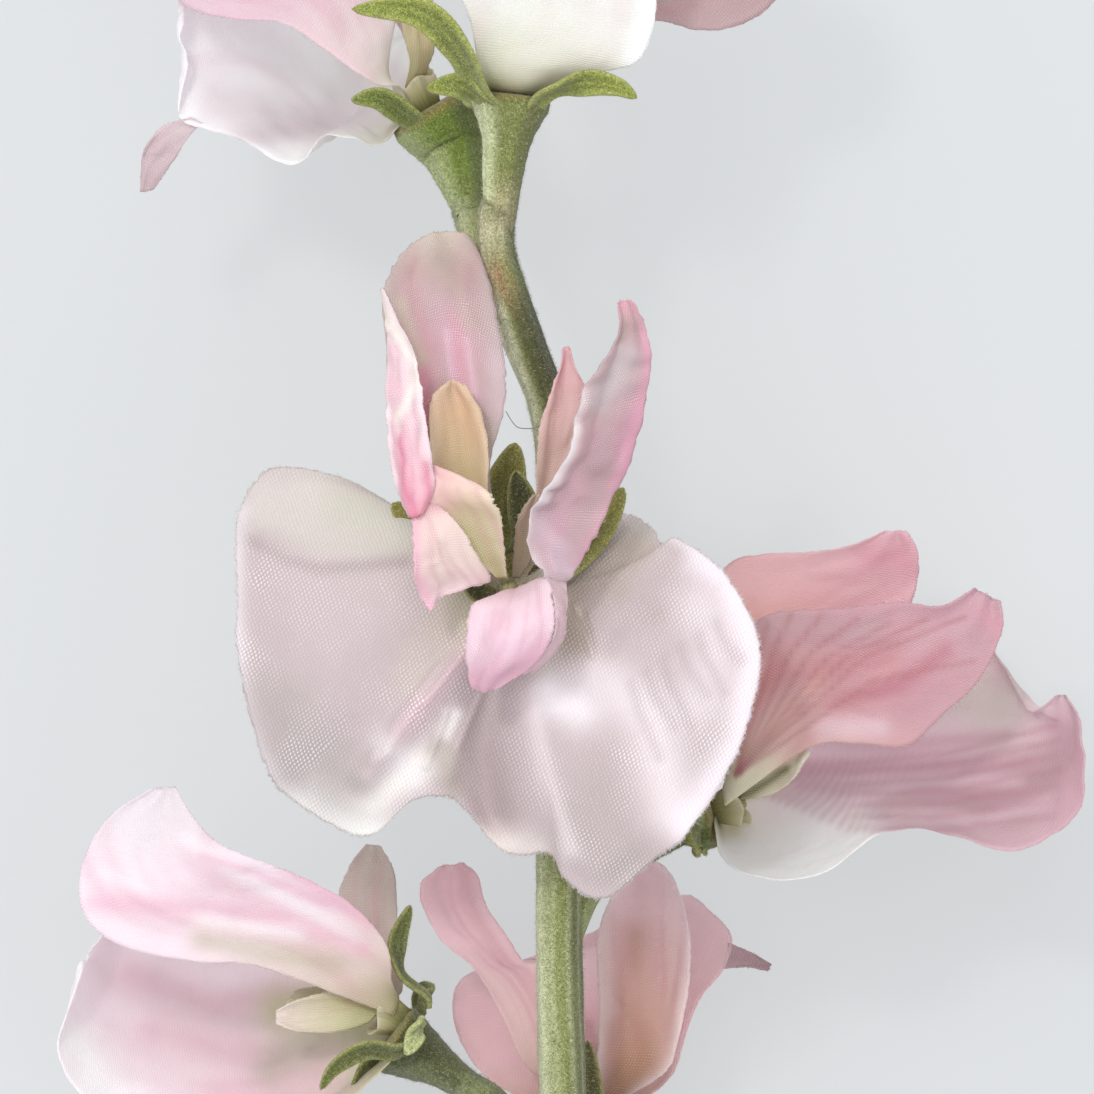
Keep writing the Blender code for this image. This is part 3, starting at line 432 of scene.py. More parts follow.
def wash(grid, stations, sides=None):
    """Colour by station along the petal, mixed to the sides' colour by |u|^3."""
    rows, columns = grid.shape[:2]
    v = np.linspace(0, 1, rows)
    places = [place for place, _ in stations]
    colours = np.array([dye(colour) for _, colour in stations])
    tint = np.stack([np.interp(v, places, colours[:, k]) for k in range(3)], -1)[:, None]
    tint = tint * np.ones((1, columns, 1))
    if sides:
        tint = toward(tint, dye(sides), 0.8 * np.abs(np.linspace(-1, 1, columns))[None] ** 3)
    return tint


def brushed(tint, spots, strokes):
    """Strokes in the plan: each pulls the tint to its colour, or the painted sheen to its number, by
    strength * exp(-(d / width)^2), where d is the distance to the stroke's line. The colours are dye,
    painted shade and painted highlights alike."""
    for line, width, colour, strength in strokes:
        goal = dye(colour) if isinstance(colour, str) else colour
        tint = toward(tint, goal, strength * np.exp(-(distance(spots, line) / width) ** 2))
    return tint


print("a screen's middle grey in linear light:", dye("808080").round(3).tolist())


# %% [markdown]
# ## The cloth's finish
# The cloth is a sheer plain weave. Threads cross at right angles, and a thread shines where it
# floats over another, which gives rows of bright dots. The weave is made of two sine waves on the UV
# map: their product is high where one set of threads is on top. It drives the gloss and the bump, and
# the colour too: the floats are painted lighter as painted highlights and the sunk places darker as
# painted shade. A Translucent shader lets the light of the far side through, as thin cloth does.


# %% Woven cloth
def node(tree, kind, *links, **values):
    """Adds a shader node, sets its values, and links or fills its inputs in order."""
    new = tree.nodes.new(kind)
    for key, value in values.items():
        setattr(new, key, value)
    connect(tree, zip(new.inputs, links))
    return new


def connect(tree, pairs):
    """Links each socket to its source, or fills it in if the source is a number or a colour."""
    for socket, source in pairs:
        if isinstance(source, (int, float, tuple)):
            socket.default_value = source
        else:
            tree.links.new(source, socket)


def fill(tree, new, inputs):
    """The same for inputs that are named."""
    connect(tree, [(new.inputs[key], source) for key, source in inputs.items()])


def maths(tree, operation, *inputs):
    """One sum of numbers, such as MULTIPLY or SINE."""
    return node(tree, "ShaderNodeMath", *inputs, operation=operation).outputs[0]


def ramp(tree, value, low, high, first=0.0, last=1.0, kind="LINEAR"):
    """Runs from first to last while the value runs from low to high."""
    return node(tree, "ShaderNodeMapRange", value, low, high, first, last,
                interpolation_type=kind).outputs[0]


def noise(tree, place, scale, detail=2.0, distortion=0.0, dimensions="3D"):
    """Clouds, scale of them to one unit of place, with detail finer layers."""
    new = node(tree, "ShaderNodeTexNoise", place, noise_dimensions=dimensions)
    fill(tree, new, {"Scale": scale, "Detail": detail, "Distortion": distortion})
    return new.outputs


def mix_colour(tree, share, a, b, blend="MIX"):
    """Sockets 6 and 7 of a Mix node are its two colours, and its output 2 is the mixed one."""
    new = node(tree, "ShaderNodeMix", data_type="RGBA", blend_type=blend)
    connect(tree, [(new.inputs[0], share), (new.inputs[6], a), (new.inputs[7], b)])
    return new.outputs[2]


def new_finish(name):
    """A material, its node tree and its main shader."""
    finish = bpy.data.materials.new(name)
    finish.use_nodes = True
    return finish, finish.node_tree, finish.node_tree.nodes["Principled BSDF"]


def bumped(tree, shader, height, strength, metres):
    """Light falls on the shader as if the height, times the metres, stood on the surface."""
    bump = node(tree, "ShaderNodeBump")
    fill(tree, bump, {"Strength": strength, "Distance": metres, "Height": height})
    fill(tree, shader, {"Normal": bump.outputs[0]})


def let_through(tree, shader, colour, glow):
    """Mixes the shader with a Translucent one: glow is the share of light from the far side."""
    through = node(tree, "ShaderNodeBsdfTranslucent", colour)
    both = node(tree, "ShaderNodeMixShader", glow, shader.outputs[0], through.outputs[0])
    fill(tree, tree.nodes["Material Output"], {"Surface": both.outputs[0]})


def woven(name, thread, glow, highlight_dots):
    """Cloth whose warp threads are thread mm apart. The floats get painted highlights and the sunk places
    between them painted shade; the last argument is the strength of both, and wide clouds make them
    fade and return as highlights do on cloth that doesn't lie flat."""
    finish, tree, shader = new_finish(name)
    place = node(tree, "ShaderNodeUVMap", uv_map="cloth").outputs[0]
    slub = noise(tree, place, 0.5, 3, dimensions="2D")    # slubs: places where a thread is thicker
    drift = node(tree, "ShaderNodeVectorMath", slub["Color"], operation="SCALE")
    fill(tree, drift, {"Scale": 0.5})
    bent = node(tree, "ShaderNodeVectorMath", place, drift.outputs[0], operation="ADD").outputs[0]
    axes = node(tree, "ShaderNodeSeparateXYZ", bent).outputs
    warp = maths(tree, "SINE", maths(tree, "MULTIPLY", axes[0], np.pi / thread))
    weft = maths(tree, "SINE", maths(tree, "MULTIPLY", axes[1], np.pi / (1.5 * thread)))
    cross = maths(tree, "MULTIPLY", warp, weft)
    floats = ramp(tree, cross, 0.25, 0.8, kind="SMOOTHSTEP")
    sunk = ramp(tree, cross, 0.0, -0.6, kind="SMOOTHSTEP")
    dyed, shine = node(tree, "ShaderNodeVertexColor", layer_name="tint").outputs
    # Wide clouds and the tint's painted sheen set how strongly the floats get painted highlights.
    painted_sheen_clouds = ramp(tree, noise(tree, place, 0.13, 3, dimensions="2D")[0], 0.42, 0.6, 0.25)
    strength = maths(tree, "MULTIPLY", maths(tree, "MULTIPLY", painted_sheen_clouds, shine), highlight_dots)
    # The floats are painted lighter as painted highlights, and the sunk places darker as painted shade.
    float_highlights = mix_colour(tree, maths(tree, "MULTIPLY", floats, strength), dyed, (1.0, 0.97, 0.98, 1))
    dye_with_painted_light = mix_colour(tree, maths(tree, "MULTIPLY", sunk, strength), float_highlights, (0.88, 0.84, 0.84, 1),
                      "MULTIPLY")
    fill(tree, shader, {"Base Color": dye_with_painted_light, "Roughness": ramp(tree, floats, 0.0, 1.0, 0.65, 0.36),
                        "Specular IOR Level": 0.6, "Sheen Weight": 0.15, "Sheen Roughness": 0.4})
    height = maths(tree, "ADD", maths(tree, "MULTIPLY", cross, 0.5),
                   maths(tree, "MULTIPLY", slub[0], 0.8))
    bumped(tree, shader, height, 0.8, 0.00007)
    let_through(tree, shader, dye_with_painted_light, glow)
    return finish


standard_cloth = woven("standard_cloth", 0.225, 0.30, 1.0)
back_cloth = woven("back_cloth", 0.17, 0.42, 0.2)
wing_cloth = woven("wing_cloth", 0.155, 0.38, 0.5)
keel_cloth = woven("keel_cloth", 0.15, 0.28, 0.25)
print("nodes of one cloth:", len(standard_cloth.node_tree.nodes))

# %% [markdown]
# ## Flock and fibres
# Flock is a short electrostatic fur of nylon. Seen close, it is a speckle of light and dark hairs
# that hides the plastic below, with a soft halo along the outline. The skin gets the speckle from
# two noises, and separate hairs, made later, give the halo.


# %% Flocked plastic and loose fibres
def tinted(tree):
    """Where the point lies on the part, in metres, and the tint of the mesh there."""
    place = node(tree, "ShaderNodeTexCoord").outputs["Object"]
    return place, node(tree, "ShaderNodeVertexColor", layer_name="tint").outputs[0]


def flocked(name, speckle, contrast):
    """Plastic under short fur: the tint is darkened and lightened by noise of about speckle mm."""
    finish, tree, shader = new_finish(name)
    place, dyed = tinted(tree)
    fine = noise(tree, place, 1 / (speckle * MM), 3, 1.6)[0]
    broad = noise(tree, place, 1 / (9 * speckle * MM), 3)[0]
    dark = ramp(tree, fine, 0.56, 0.36, 0.0, contrast)
    light = ramp(tree, fine, 0.54, 0.72, 0.0, contrast)
    toned = mix_colour(tree, ramp(tree, broad, 0.45, 0.7, 0.0, 0.3), dyed, (0.17, 0.19, 0.06, 1))
    darker = mix_colour(tree, dark, toned, (0.06, 0.065, 0.02, 1))
    bleached = mix_colour(tree, 0.5, dyed, (0.75, 0.76, 0.58, 1))
    fill(tree, shader, {"Base Color": mix_colour(tree, light, darker, bleached), "Roughness": 0.85,
                        "Specular IOR Level": 0.25, "Sheen Weight": 0.2, "Sheen Roughness": 0.5})
    bumped(tree, shader, fine, 0.7, 0.0002)
    return finish


def fibre_finish(name, glow, fleck):
    """Hairs and cut threads: their own tint, flecked by noise, with some light let through."""
    finish, tree, shader = new_finish(name)
    place, dyed = tinted(tree)
    share = maths(tree, "MULTIPLY", noise(tree, place, 2500)[0], fleck)
    toned = mix_colour(tree, share, dyed, (0.9, 0.9, 0.86, 1))
    fill(tree, shader, {"Base Color": toned, "Roughness": 0.6})
    let_through(tree, shader, toned, glow)
    return finish


stem_flock = flocked("stem_flock", 0.19, 0.72)
calyx_flock = flocked("calyx_flock", 0.19, 0.75)
hair = fibre_finish("hair", 0.35, 0.25)
cut_thread = fibre_finish("cut_thread", 0.55, 0.3)
print("finishes:", [m.name for m in bpy.data.materials])


# %% [markdown]
# ## The blooms' outlines
# Six blooms sit on the stem. Each has a hub, the middle of its calyx's mouth, and an axis that it
# looks along. Points are measured from the hub, in millimetres. They are nearly the same outlines as
# in the solids, because a finer piece has to keep the form of the solid it stands for. Only some
# sepals, and the cone of one calyx, are moved by a millimetre or two to lie better.

# %% Outlines
CENTRE_BLOOM = {
    "hub": vec(-3.9, -4.4, 46), "axis": vec(0, 0, 1), "stalk": vec(-3.5, -7, 37.2),
    "standard": {"petal": {"arc": (144, 395), "spread": 0.5, "margin": [
        (-11.5, 8.3, -1), (-17.8, 11.7, -3), (-25.2, 12.7, -6), (-28.3, 8.8, -5), (-28.8, 5.2, -3.5),
        (-28.7, -1.1, -2.5), (-28.6, -7.4, -3), (-26, -17.9, -4.5), (-23.1, -22.1, -5.5),
        (-15.5, -26.1, -5), (-10.5, -22.4, -2), (-7.3, -21.8, -1.5), (-5.2, -22.7, -3),
        (-0.5, -27.7, -4.5), (4.2, -27.9, -3), (5.8, -30.5, -1), (9.8, -32.6, 0.5), (15.2, -28.4, 1),
        (18.9, -25.3, 0.5), (24.2, -16.4, -1.5), (26.3, -6.4, -3), (22.6, 1.5, -3), (17.5, 5.3, -2.2),
        (16.2, 4.2, -3.2), (14.9, 6.4, -3.8), (12.1, 7.9, -4), (9.5, 6.7, -2.5)]}},
    "wings": {
        "left blade": [
            [(-0.7, 0.2, 2.1), (-0.5, 0.3, 2.1), (-0.3, 0.3, 2.1), (0, 0.3, 2.1)],
            [(-7.4, 6.2, 5), (-5.3, 6.2, 3.5), (-3.2, 6.7, 2.8), (-1.1, 6.2, 2.8)],
            [(-11.1, 11.4, 9), (-8.4, 12.5, 5), (-4.7, 13, 3.8), (-2.1, 12.5, 4.5)],
            [(-12.2, 17.7, 10), (-8.9, 19.3, 6), (-4.7, 19.8, 4.5), (-0.7, 18.8, 5.5)],
            [(-12.8, 24, 8.5), (-9.5, 25.6, 4.5), (-5.3, 26.1, 3), (-0.5, 23.5, 4)],
            [(-13.4, 29.8, 5.5), (-10, 31.4, 3), (-5.9, 31.9, 1.5), (-1.8, 30.4, 0)],
            [(-12.2, 33.8, 2), (-8.9, 35, 1), (-6.1, 35.2, 0), (-2.9, 34.4, -1.6)],
            [(-10.4, 36.3, 0.6), (-8.2, 37.3, 0), (-6.2, 37.6, -0.6), (-4.2, 37.1, -1.8)]],
        "left fold": [
            [(-13.5, 31.3, 4.6), (-13.4, 31.5, 4.9), (-13.2, 31.5, 5)],
            [(-13.1, 28.2, 6.4), (-12.3, 28, 7.6), (-11.5, 27.7, 7.8)],
            [(-12.8, 25.1, 8), (-11.4, 25, 9.8), (-10, 24.9, 9.8)],
            [(-12.7, 19.8, 9.8), (-11.1, 20, 11.6), (-9.2, 20.4, 11.2)],
            [(-12.5, 14.6, 10.2), (-10.6, 14.7, 12.2), (-8.4, 14.8, 11.2)],
            [(-11.9, 10.4, 10.6), (-10.2, 10.2, 12.4), (-7.8, 10.8, 11.6)],
            [(-10.6, 7.6, 11.4), (-9.8, 7.5, 12.2), (-9, 7.9, 12.2)]],
        "left panel": [
            [(-1.4, 1.2, 5.2), (-0.8, 1.2, 5.2), (-0.3, 1.2, 5.2)],
            [(-4.2, 3.8, 7.6), (-2.3, 4.1, 7), (-0.5, 3.9, 7.2)],
            [(-7.4, 7.2, 10), (-4.2, 7.8, 9.2), (-0.8, 7.2, 9)],
            [(-9.7, 8.6, 11.4), (-6.3, 9.9, 11), (-1.7, 9.3, 10.4)],
            [(-10.6, 11, 10.6), (-6.8, 11.6, 11.2), (-3.2, 10.9, 10.6)],
            [(-11.3, 12.8, 9.4), (-9.9, 13.3, 9.9), (-8, 13, 10.2)]],
        "left tail": [
            [(-10.4, 9.4, 10.8), (-9, 9.2, 11.2), (-7.4, 8.8, 10.8)],
            [(-10.1, 5.8, 12), (-7.9, 5.4, 11.6), (-5.2, 6.6, 10.6)],
            [(-10, 1.5, 11.2), (-7.4, 2.5, 10.2), (-3.6, 3.8, 8.8)],
            [(-9.3, -0.6, 9.6), (-6.3, 0.6, 8), (-1.9, 1, 6.6)],
            [(-8.4, -2.4, 8.6), (-6.8, -0.6, 7.2), (-3, 0.4, 6.5)]],
        "right ribbon": [
            [(-0.4, -0.9, 2.1), (0.2, -0.9, 2.1), (0.8, -0.8, 2.1)],
            [(1.6, -0.6, 4.4), (2.3, -0.5, 4.4), (3.1, -0.5, 4.2)],
            [(3.5, 1.4, 9), (4.5, 1.2, 8), (5.9, 0.9, 7)],
            [(2.1, 4.1, 11), (4.2, 4.1, 9.5), (7.6, 3, 7)],
            [(1.9, 7.2, 11.5), (4.7, 7.8, 9), (9.7, 7.2, 6.5)],
            [(3.7, 10.4, 11.5), (7.4, 11.4, 9), (11.8, 11.4, 6.5)],
            [(5.9, 13.3, 11), (9.5, 14.6, 9), (13.3, 15.1, 7)],
            [(6.9, 17.4, 10.5), (10.4, 18.5, 8.5), (14.2, 19, 7)],
            [(7.6, 20.6, 10), (11.1, 21.4, 8.5), (14.8, 22.8, 7.5)],
            [(9.4, 23.4, 9.5), (12.1, 24.6, 8.5), (14.7, 25.3, 8)],
            [(11.3, 26.5, 9), (12.5, 27.3, 8.5), (14, 27.7, 8)],
            [(11.2, 29.8, 9.5), (12.1, 30.2, 8.8), (13, 30, 8.6)]],
        "right back": [
            [(0.2, 0, 2.1), (0.6, 0, 2.1), (1, -0.1, 2.1)],
            [(2.4, 6.8, 3.6), (3.4, 6.8, 3.2), (4.6, 6.8, 3.4)],
            [(2.8, 13, 5), (4.4, 12.7, 4), (6.1, 13.3, 4.6)],
            [(3.2, 16.7, 6), (5.3, 16.7, 5), (7.8, 17.7, 5.6)],
            [(4.2, 20.4, 6), (5.9, 20.7, 5), (8.3, 20.2, 5.8)],
            [(5.3, 23.5, 6), (6, 23.8, 5.5), (6.9, 23.2, 6)],
            [(5.5, 25.1, 6.4), (5.9, 25.3, 6.3), (6.3, 25.2, 6.4)]],
        "right tongue": [
            [(-0.6, -1, 2.1), (0, -1, 2.1), (0.6, -1, 2.1)],
            [(-1, -1, 4), (0.4, -0.9, 4.2), (1.8, -0.7, 4.4)],
            [(-1.4, -0.5, 5.6), (1, 0.2, 6.4), (3.8, 1.2, 8.8)],
            [(-3.9, -1.6, 8), (0.5, -1.7, 10), (4.5, -1.2, 11)],
            [(-4.4, -4.3, 9), (0, -4.5, 11.5), (4.6, -3.8, 11.5)],
            [(-4.4, -7.5, 8), (-1, -7.7, 10.5), (3.5, -6.7, 10)],
            [(-4, -10.2, 6.5), (-2.1, -9.8, 8), (1.1, -8.7, 8)],
            [(-3.2, -10.8, 6), (-2.4, -10.7, 6.5), (-1.4, -10.4, 7)]],
        "right band": [
            [(3.9, 1.3, 9), (4.8, 0.9, 8), (5.9, 0.7, 7)],
            [(4.7, -1.7, 11), (5.5, -1.7, 10), (6, -1.7, 8.5)],
            [(4.6, -4.1, 11), (5.5, -4.3, 9.5), (5.9, -3.8, 8.5)],
            [(3.5, -6.7, 9.9), (4.2, -6.9, 8.5), (4.8, -6.2, 8)],
            [(1.1, -8.8, 7.9), (1.9, -8.8, 7), (2.6, -8.5, 6.5)]]},
    "keel": {
        "left": [
            [(-0.8, 1.2, 3.6), (-0.5, 1.2, 3.6), (-0.2, 1.2, 3.6)],
            [(-4.2, 4.6, 5.8), (-2.6, 5.1, 5.3), (-1.1, 5.1, 5.3)],
            [(-7.8, 10.4, 8.3), (-5, 10.6, 6.6), (-2.3, 10.2, 7)],
            [(-8.4, 15.6, 8.8), (-5.3, 16.2, 6.8), (-2.1, 13.5, 7.6)],
            [(-8.1, 19.8, 8.4), (-5.8, 19.8, 7), (-2.9, 18.3, 7.6)],
            [(-6.8, 21.5, 8), (-5.8, 21.8, 7.6), (-4.6, 21.3, 7.6)]],
        "right": [
            [(0.2, 1.2, 3.6), (0.6, 1.2, 3.6), (1, 1.1, 3.6)],
            [(0.4, 4.1, 5), (1.6, 4.1, 5.2), (2.6, 3.8, 6)],
            [(0.8, 7.2, 7), (1.9, 7.2, 6.8), (3.4, 7.2, 7.2)],
            [(2.4, 9.9, 8.4), (3, 9.9, 8.3), (3.9, 9.8, 8.3)]]},
    "sepals": [
        ([(-1.6, 6, -1.6), (-0.4, 11.4, -1.2), (0.6, 15.3, 0)], 4.6),
        ([(2.2, 5.4, 0), (1.4, 9, 1.2), (0.6, 12.4, 2.2)], 3.6),
        ([(-5, 3, -2.2), (-9.4, 6.4, -3.4), (-12.4, 9, -4.6)], 4),
        ([(4.8, 2.5, -2.2), (8.8, 6.2, -3.6), (12, 10.6, -4.6)], 4),
        ([(-2, -5, -2.4), (-3, -8, -4)], 3.6)],
}

RIGHT_BLOOM = {
    "hub": vec(17.3, -28.1, 24), "axis": unit(vec(0.96, 0.22, 0.15)), "stalk": vec(9.4, -32.4, 26),
    "standard": {"petal": {"arc": (25, 165), "bow": -0.06, "edges": (
        [(1.2, -4.5, 7), (3.5, -6.3, 9), (8.2, -7.2, 11), (12.9, -5.8, 12), (17.6, -2.4, 11),
         (22.4, -1.6, 9), (26, -2.4, 7.5), (31.3, -3.9, 7), (35.5, -2.8, 7), (39.2, 0.3, 5),
         (39.9, 4.7, 3), (39.5, 10, 1), (38, 12.3, -1)],
        [(2.4, 0, -9), (6.1, 2.6, -15), (11.3, 6.8, -21), (16.6, 11, -26), (20.8, 15.2, -26.5),
         (25, 18.4, -24), (28.7, 18.9, -19), (30.8, 16.4, -14), (33, 12.6, -9), (34.2, 10.6, -6),
         (35.4, 11, -4), (37, 12.3, -2)])}},
    "wings": {
        "front": {"arc": (-95, -5), "bow": 0.08, "edges": (
            [(2.4, 5.8, 2), (2.7, 12.1, 3), (4, 18.4, 4), (6.6, 21, 5), (13.4, 21.5, 6),
             (19.7, 22.3, 6), (24.5, 21.9, 5), (28.1, 23.8, 4)],
            [(10.3, 6.6, 3.5), (15.5, 7.2, 5), (20.9, 7, 6), (24.5, 10.2, 6), (28.7, 14.2, 5.5),
             (31.1, 19.4, 4), (30.9, 22.3, 3.5)])},
        "back": {"arc": (-105, -175), "bow": -0.05, "edges": (
            [(1, 12.1, -4), (0.4, 18.4, -6), (0.6, 23.6, -7), (2.4, 26.5, -8), (6.1, 27.3, -8),
             (11.3, 27.6, -7), (15.5, 28.4, -6), (18.7, 29.8, -5)],
            [(10.3, 8.9, -5), (15.5, 13.1, -6), (19.7, 18.4, -7), (22.1, 23.6, -7),
             (22.3, 27.6, -6), (21, 29.9, -5)])}},
    "keel": {
        "near": {"arc": (-70, -20), "bow": 0.1, "edges": (
            [(3, 5, 0.6), (6, 8, 1.2), (9.8, 8.6, 1.6)],
            [(5.8, 1.6, 1.8), (8.8, 3.2, 1.9), (10.8, 6.2, 1.9)])},
        "far": {"arc": (-100, -170), "bow": -0.1, "edges": (
            [(3, 5, -1), (6, 8, -2), (9.8, 8.6, -2.4)],
            [(5.6, 2, -1.4), (8.6, 3.6, -2), (10.6, 6.4, -2.4)])}},
    "sepals": [
        ([(-1.8, -3, 4.6), (-1.2, -4.6, 6.2)], 3.4),
        ([(-1.8, 4.6, 1.5), (-1.6, 8, 2.2)], 3.6),
        ([(-1.6, 3, -4.6), (-1.6, 5, -7)], 3.4),
        ([(-1, -3, -4), (-0.4, -4.5, -6)], 3.4),
        ([(-1.6, -3.4, 0.4), (-0.8, -4.4, 1)], 2.0)],
}

LOW_LEFT_BLOOM = {
    "hub": vec(-14.6, -50.7, 24), "axis": unit(vec(-0.92, 0.34, 0.08)), "stalk": vec(-8.2, -57.4, 24.6),
    # This calyx points a little away from the bloom's axis and sits beside its petals' middle.
    "turned": unit(vec(-0.84, 0.53, 0.08)), "sunk": vec(-1.7, -1.6, 0),
    "standard": {"petal": {"arc": (-25, -165), "bow": 0.06, "edges": (
        [(-1.8, -3.6, 5), (-4, -5.8, 6), (-8.2, -9.5, 8), (-14.5, -12.6, 8), (-21.8, -13.7, 7),
         (-29.2, -12.1, 5), (-33.9, -8.4, 4), (-37.1, -3.4, 4), (-36.3, 1.1, 3), (-34.9, 6, 1)],
        [(-2.4, 3.2, -8), (-6.1, 8.4, -16), (-12.4, 13.7, -26), (-19.7, 16.8, -26),
         (-26, 15.8, -20), (-30, 12.6, -13), (-32.6, 9.4, -6), (-34, 7.4, -1)])}},
    "wings": {
        "front": {"arc": (75, 5), "bow": -0.08, "edges": (
            [(-1.9, 4.7, 3.5), (-2.4, 8.4, 5), (-6.1, 12.8, 6), (-11.3, 15.6, 7),
             (-16.6, 17.6, 8), (-20.6, 19.6, 8), (-23.2, 22.6, 7), (-24.8, 25.3, 6)],
            [(-15.5, 6, 5), (-21.8, 6.6, 6), (-27.1, 7.4, 7), (-30.8, 8.6, 8), (-33.9, 11, 9),
             (-34.9, 14.7, 9), (-33.9, 18.9, 8), (-31.3, 22.6, 7), (-27.1, 25.2, 6)])},
        "back": {"arc": (100, 160), "bow": 0, "edges": (
            [(-0.8, 4.2, -3), (-1.4, 10.5, -5), (-1.7, 15.8, -7), (-3.2, 18.7, -8)],
            [(-5.6, 5.4, -5), (-7.7, 12.6, -7), (-6.6, 16.3, -8), (-4.8, 18.9, -8)])}},
    "keel": {
        "near": {"arc": (80, 0), "bow": -0.1, "edges": (
            [(-4.4, 3.6, 1.2), (-8, 3.6, 2), (-12, 2.6, 2.6), (-14.2, 1.4, 3)],
            [(-5, -0.2, 1.6), (-8, -0.8, 2.6), (-12, -0.8, 3), (-14.2, 0, 3)])},
        "far": {"arc": (110, 160), "bow": 0.1, "edges": (
            [(-4.4, 3.6, -1), (-8, 4, -1.6), (-12, 3.6, -2)],
            [(-7, 0.4, -1.8), (-11, 0.8, -2), (-13.4, 2, -2.2)])}},
    "sepals": [
        ([(-1, 5.2, 1.6), (-1.4, 8.6, 2.2), (0.1, 12.6, 3)], 2.3),
        ([(0.9, -0.2, 4.6), (0.4, -1.7, 5.6), (-0.4, -3.2, 5.6)], 2.1),
        ([(-1.4, -2.8, 5.4), (-4.6, -2.6, 7.4), (-7.8, -4.4, 8.4), (-9.4, -6.8, 8.2)], 2.0),
        ([(-3.6, -3.8, 2.6), (-6, -6.8, 4)], 2.2),
        ([(1.6, 2.4, -4.6), (1, 4, -7)], 3)],
}

LOW_BACK_BLOOM = {
    "hub": vec(4.5, -61.7, 14), "axis": unit(vec(0.04, 0.99, 0.02)), "stalk": vec(4.2, -70.2, 14.6),
    "standard": {
        "petal": {"arc": (-105, -255), "bow": 0.1, "edges": (
            [(-9.5, 3.7, -3), (-12.6, 6.6, -4), (-14.5, 10.5, -5), (-14.4, 14.2, -6),
             (-12.4, 15.8, -8), (-8.9, 16.4, -12), (-4.2, 18.4, -16), (1, 20.5, -16.5)],
            [(8.6, 4.7, -1.2), (10.5, 10, -1.4), (11.9, 13.2, -1.6), (14.6, 16.4, -2.4),
             (15.4, 19.6, -4), (13.9, 21.8, -7), (10.5, 24.2, -11), (6.3, 22.5, -16)])},
        "tip": [[(15, 19.2, -3.8), (14.8, 17.8, -3), (14.2, 16.4, -2.4)],
                [(17.4, 18.2, -3.2), (17.1, 17.4, -3), (16.8, 16.6, -2.6)],
                [(19.6, 16.9, -2.8), (19.4, 16.6, -2.7), (19.2, 16.2, -2.6)]]},
    "wings": {
        "left": {"arc": (-75, -15), "bow": 0.06, "edges": (
            [(-3.2, 3.6, 1), (-6.8, 6.3, 2), (-8.9, 10.5, 3), (-10.5, 13.9, 4), (-12.6, 17.1, 5),
             (-15.8, 20, 5), (-17.6, 23.1, 5), (-18, 25.9, 5), (-16, 27.6, 4)],
            [(-1.2, 6.4, 1.8), (-1.6, 10, 0.7), (-2.6, 14.2, 0.5), (-4.7, 16.8, 0.5), (-7.1, 17.5, 1),
             (-8.9, 20.3, 2), (-11, 23.4, 2), (-11.8, 26.4, 2), (-13.4, 27.9, 3)])},
        "right": {"arc": (10, 85), "bow": 0.06, "edges": (
            [(1, 9, 2), (1, 14.2, 1), (0.8, 19.4, 0.5), (2.1, 23.6, 0.5), (4.2, 27.3, 1)],
            [(7.9, 5.3, 3), (9.5, 8.9, 4), (10.5, 14.2, 5), (10.7, 19.4, 5), (9.8, 24.2, 4),
             (8.6, 27, 3), (6.5, 28.7, 2)])}},
    "keel": {
        "left": {"arc": (-160, -100), "bow": 0.1, "edges": (
            [(-0.3, 6.4, -1), (-0.3, 9.6, -1.4), (-1, 12.6, -1.6)],
            [(-2.8, 6, -0.8), (-3.4, 9, -1.2), (-2.6, 12, -1.4)])},
        "right": {"arc": (160, 100), "bow": -0.1, "edges": (
            [(0.8, 6.4, -1), (0.8, 9.6, -1.4), (1.8, 12.6, -1.6)],
            [(3.2, 6, -0.8), (4, 9, -1.2), (3.4, 12, -1.4)])}},
    "sepals": [
        ([(0.3, -0.4, 4.8), (0, 4, 6.6), (-0.2, 9, 6.6)], 2.8),
        ([(4.8, -0.8, 1.6), (8, 0, 2.6)], 3),
        ([(-4.8, -0.8, 1.4), (-8, 0, 2.2)], 3),
        ([(3, -1.2, -4.6), (5, -0.6, -6.6)], 3),
        ([(-3, -1.2, -4.6), (-5, -0.6, -6.6)], 3)],
}

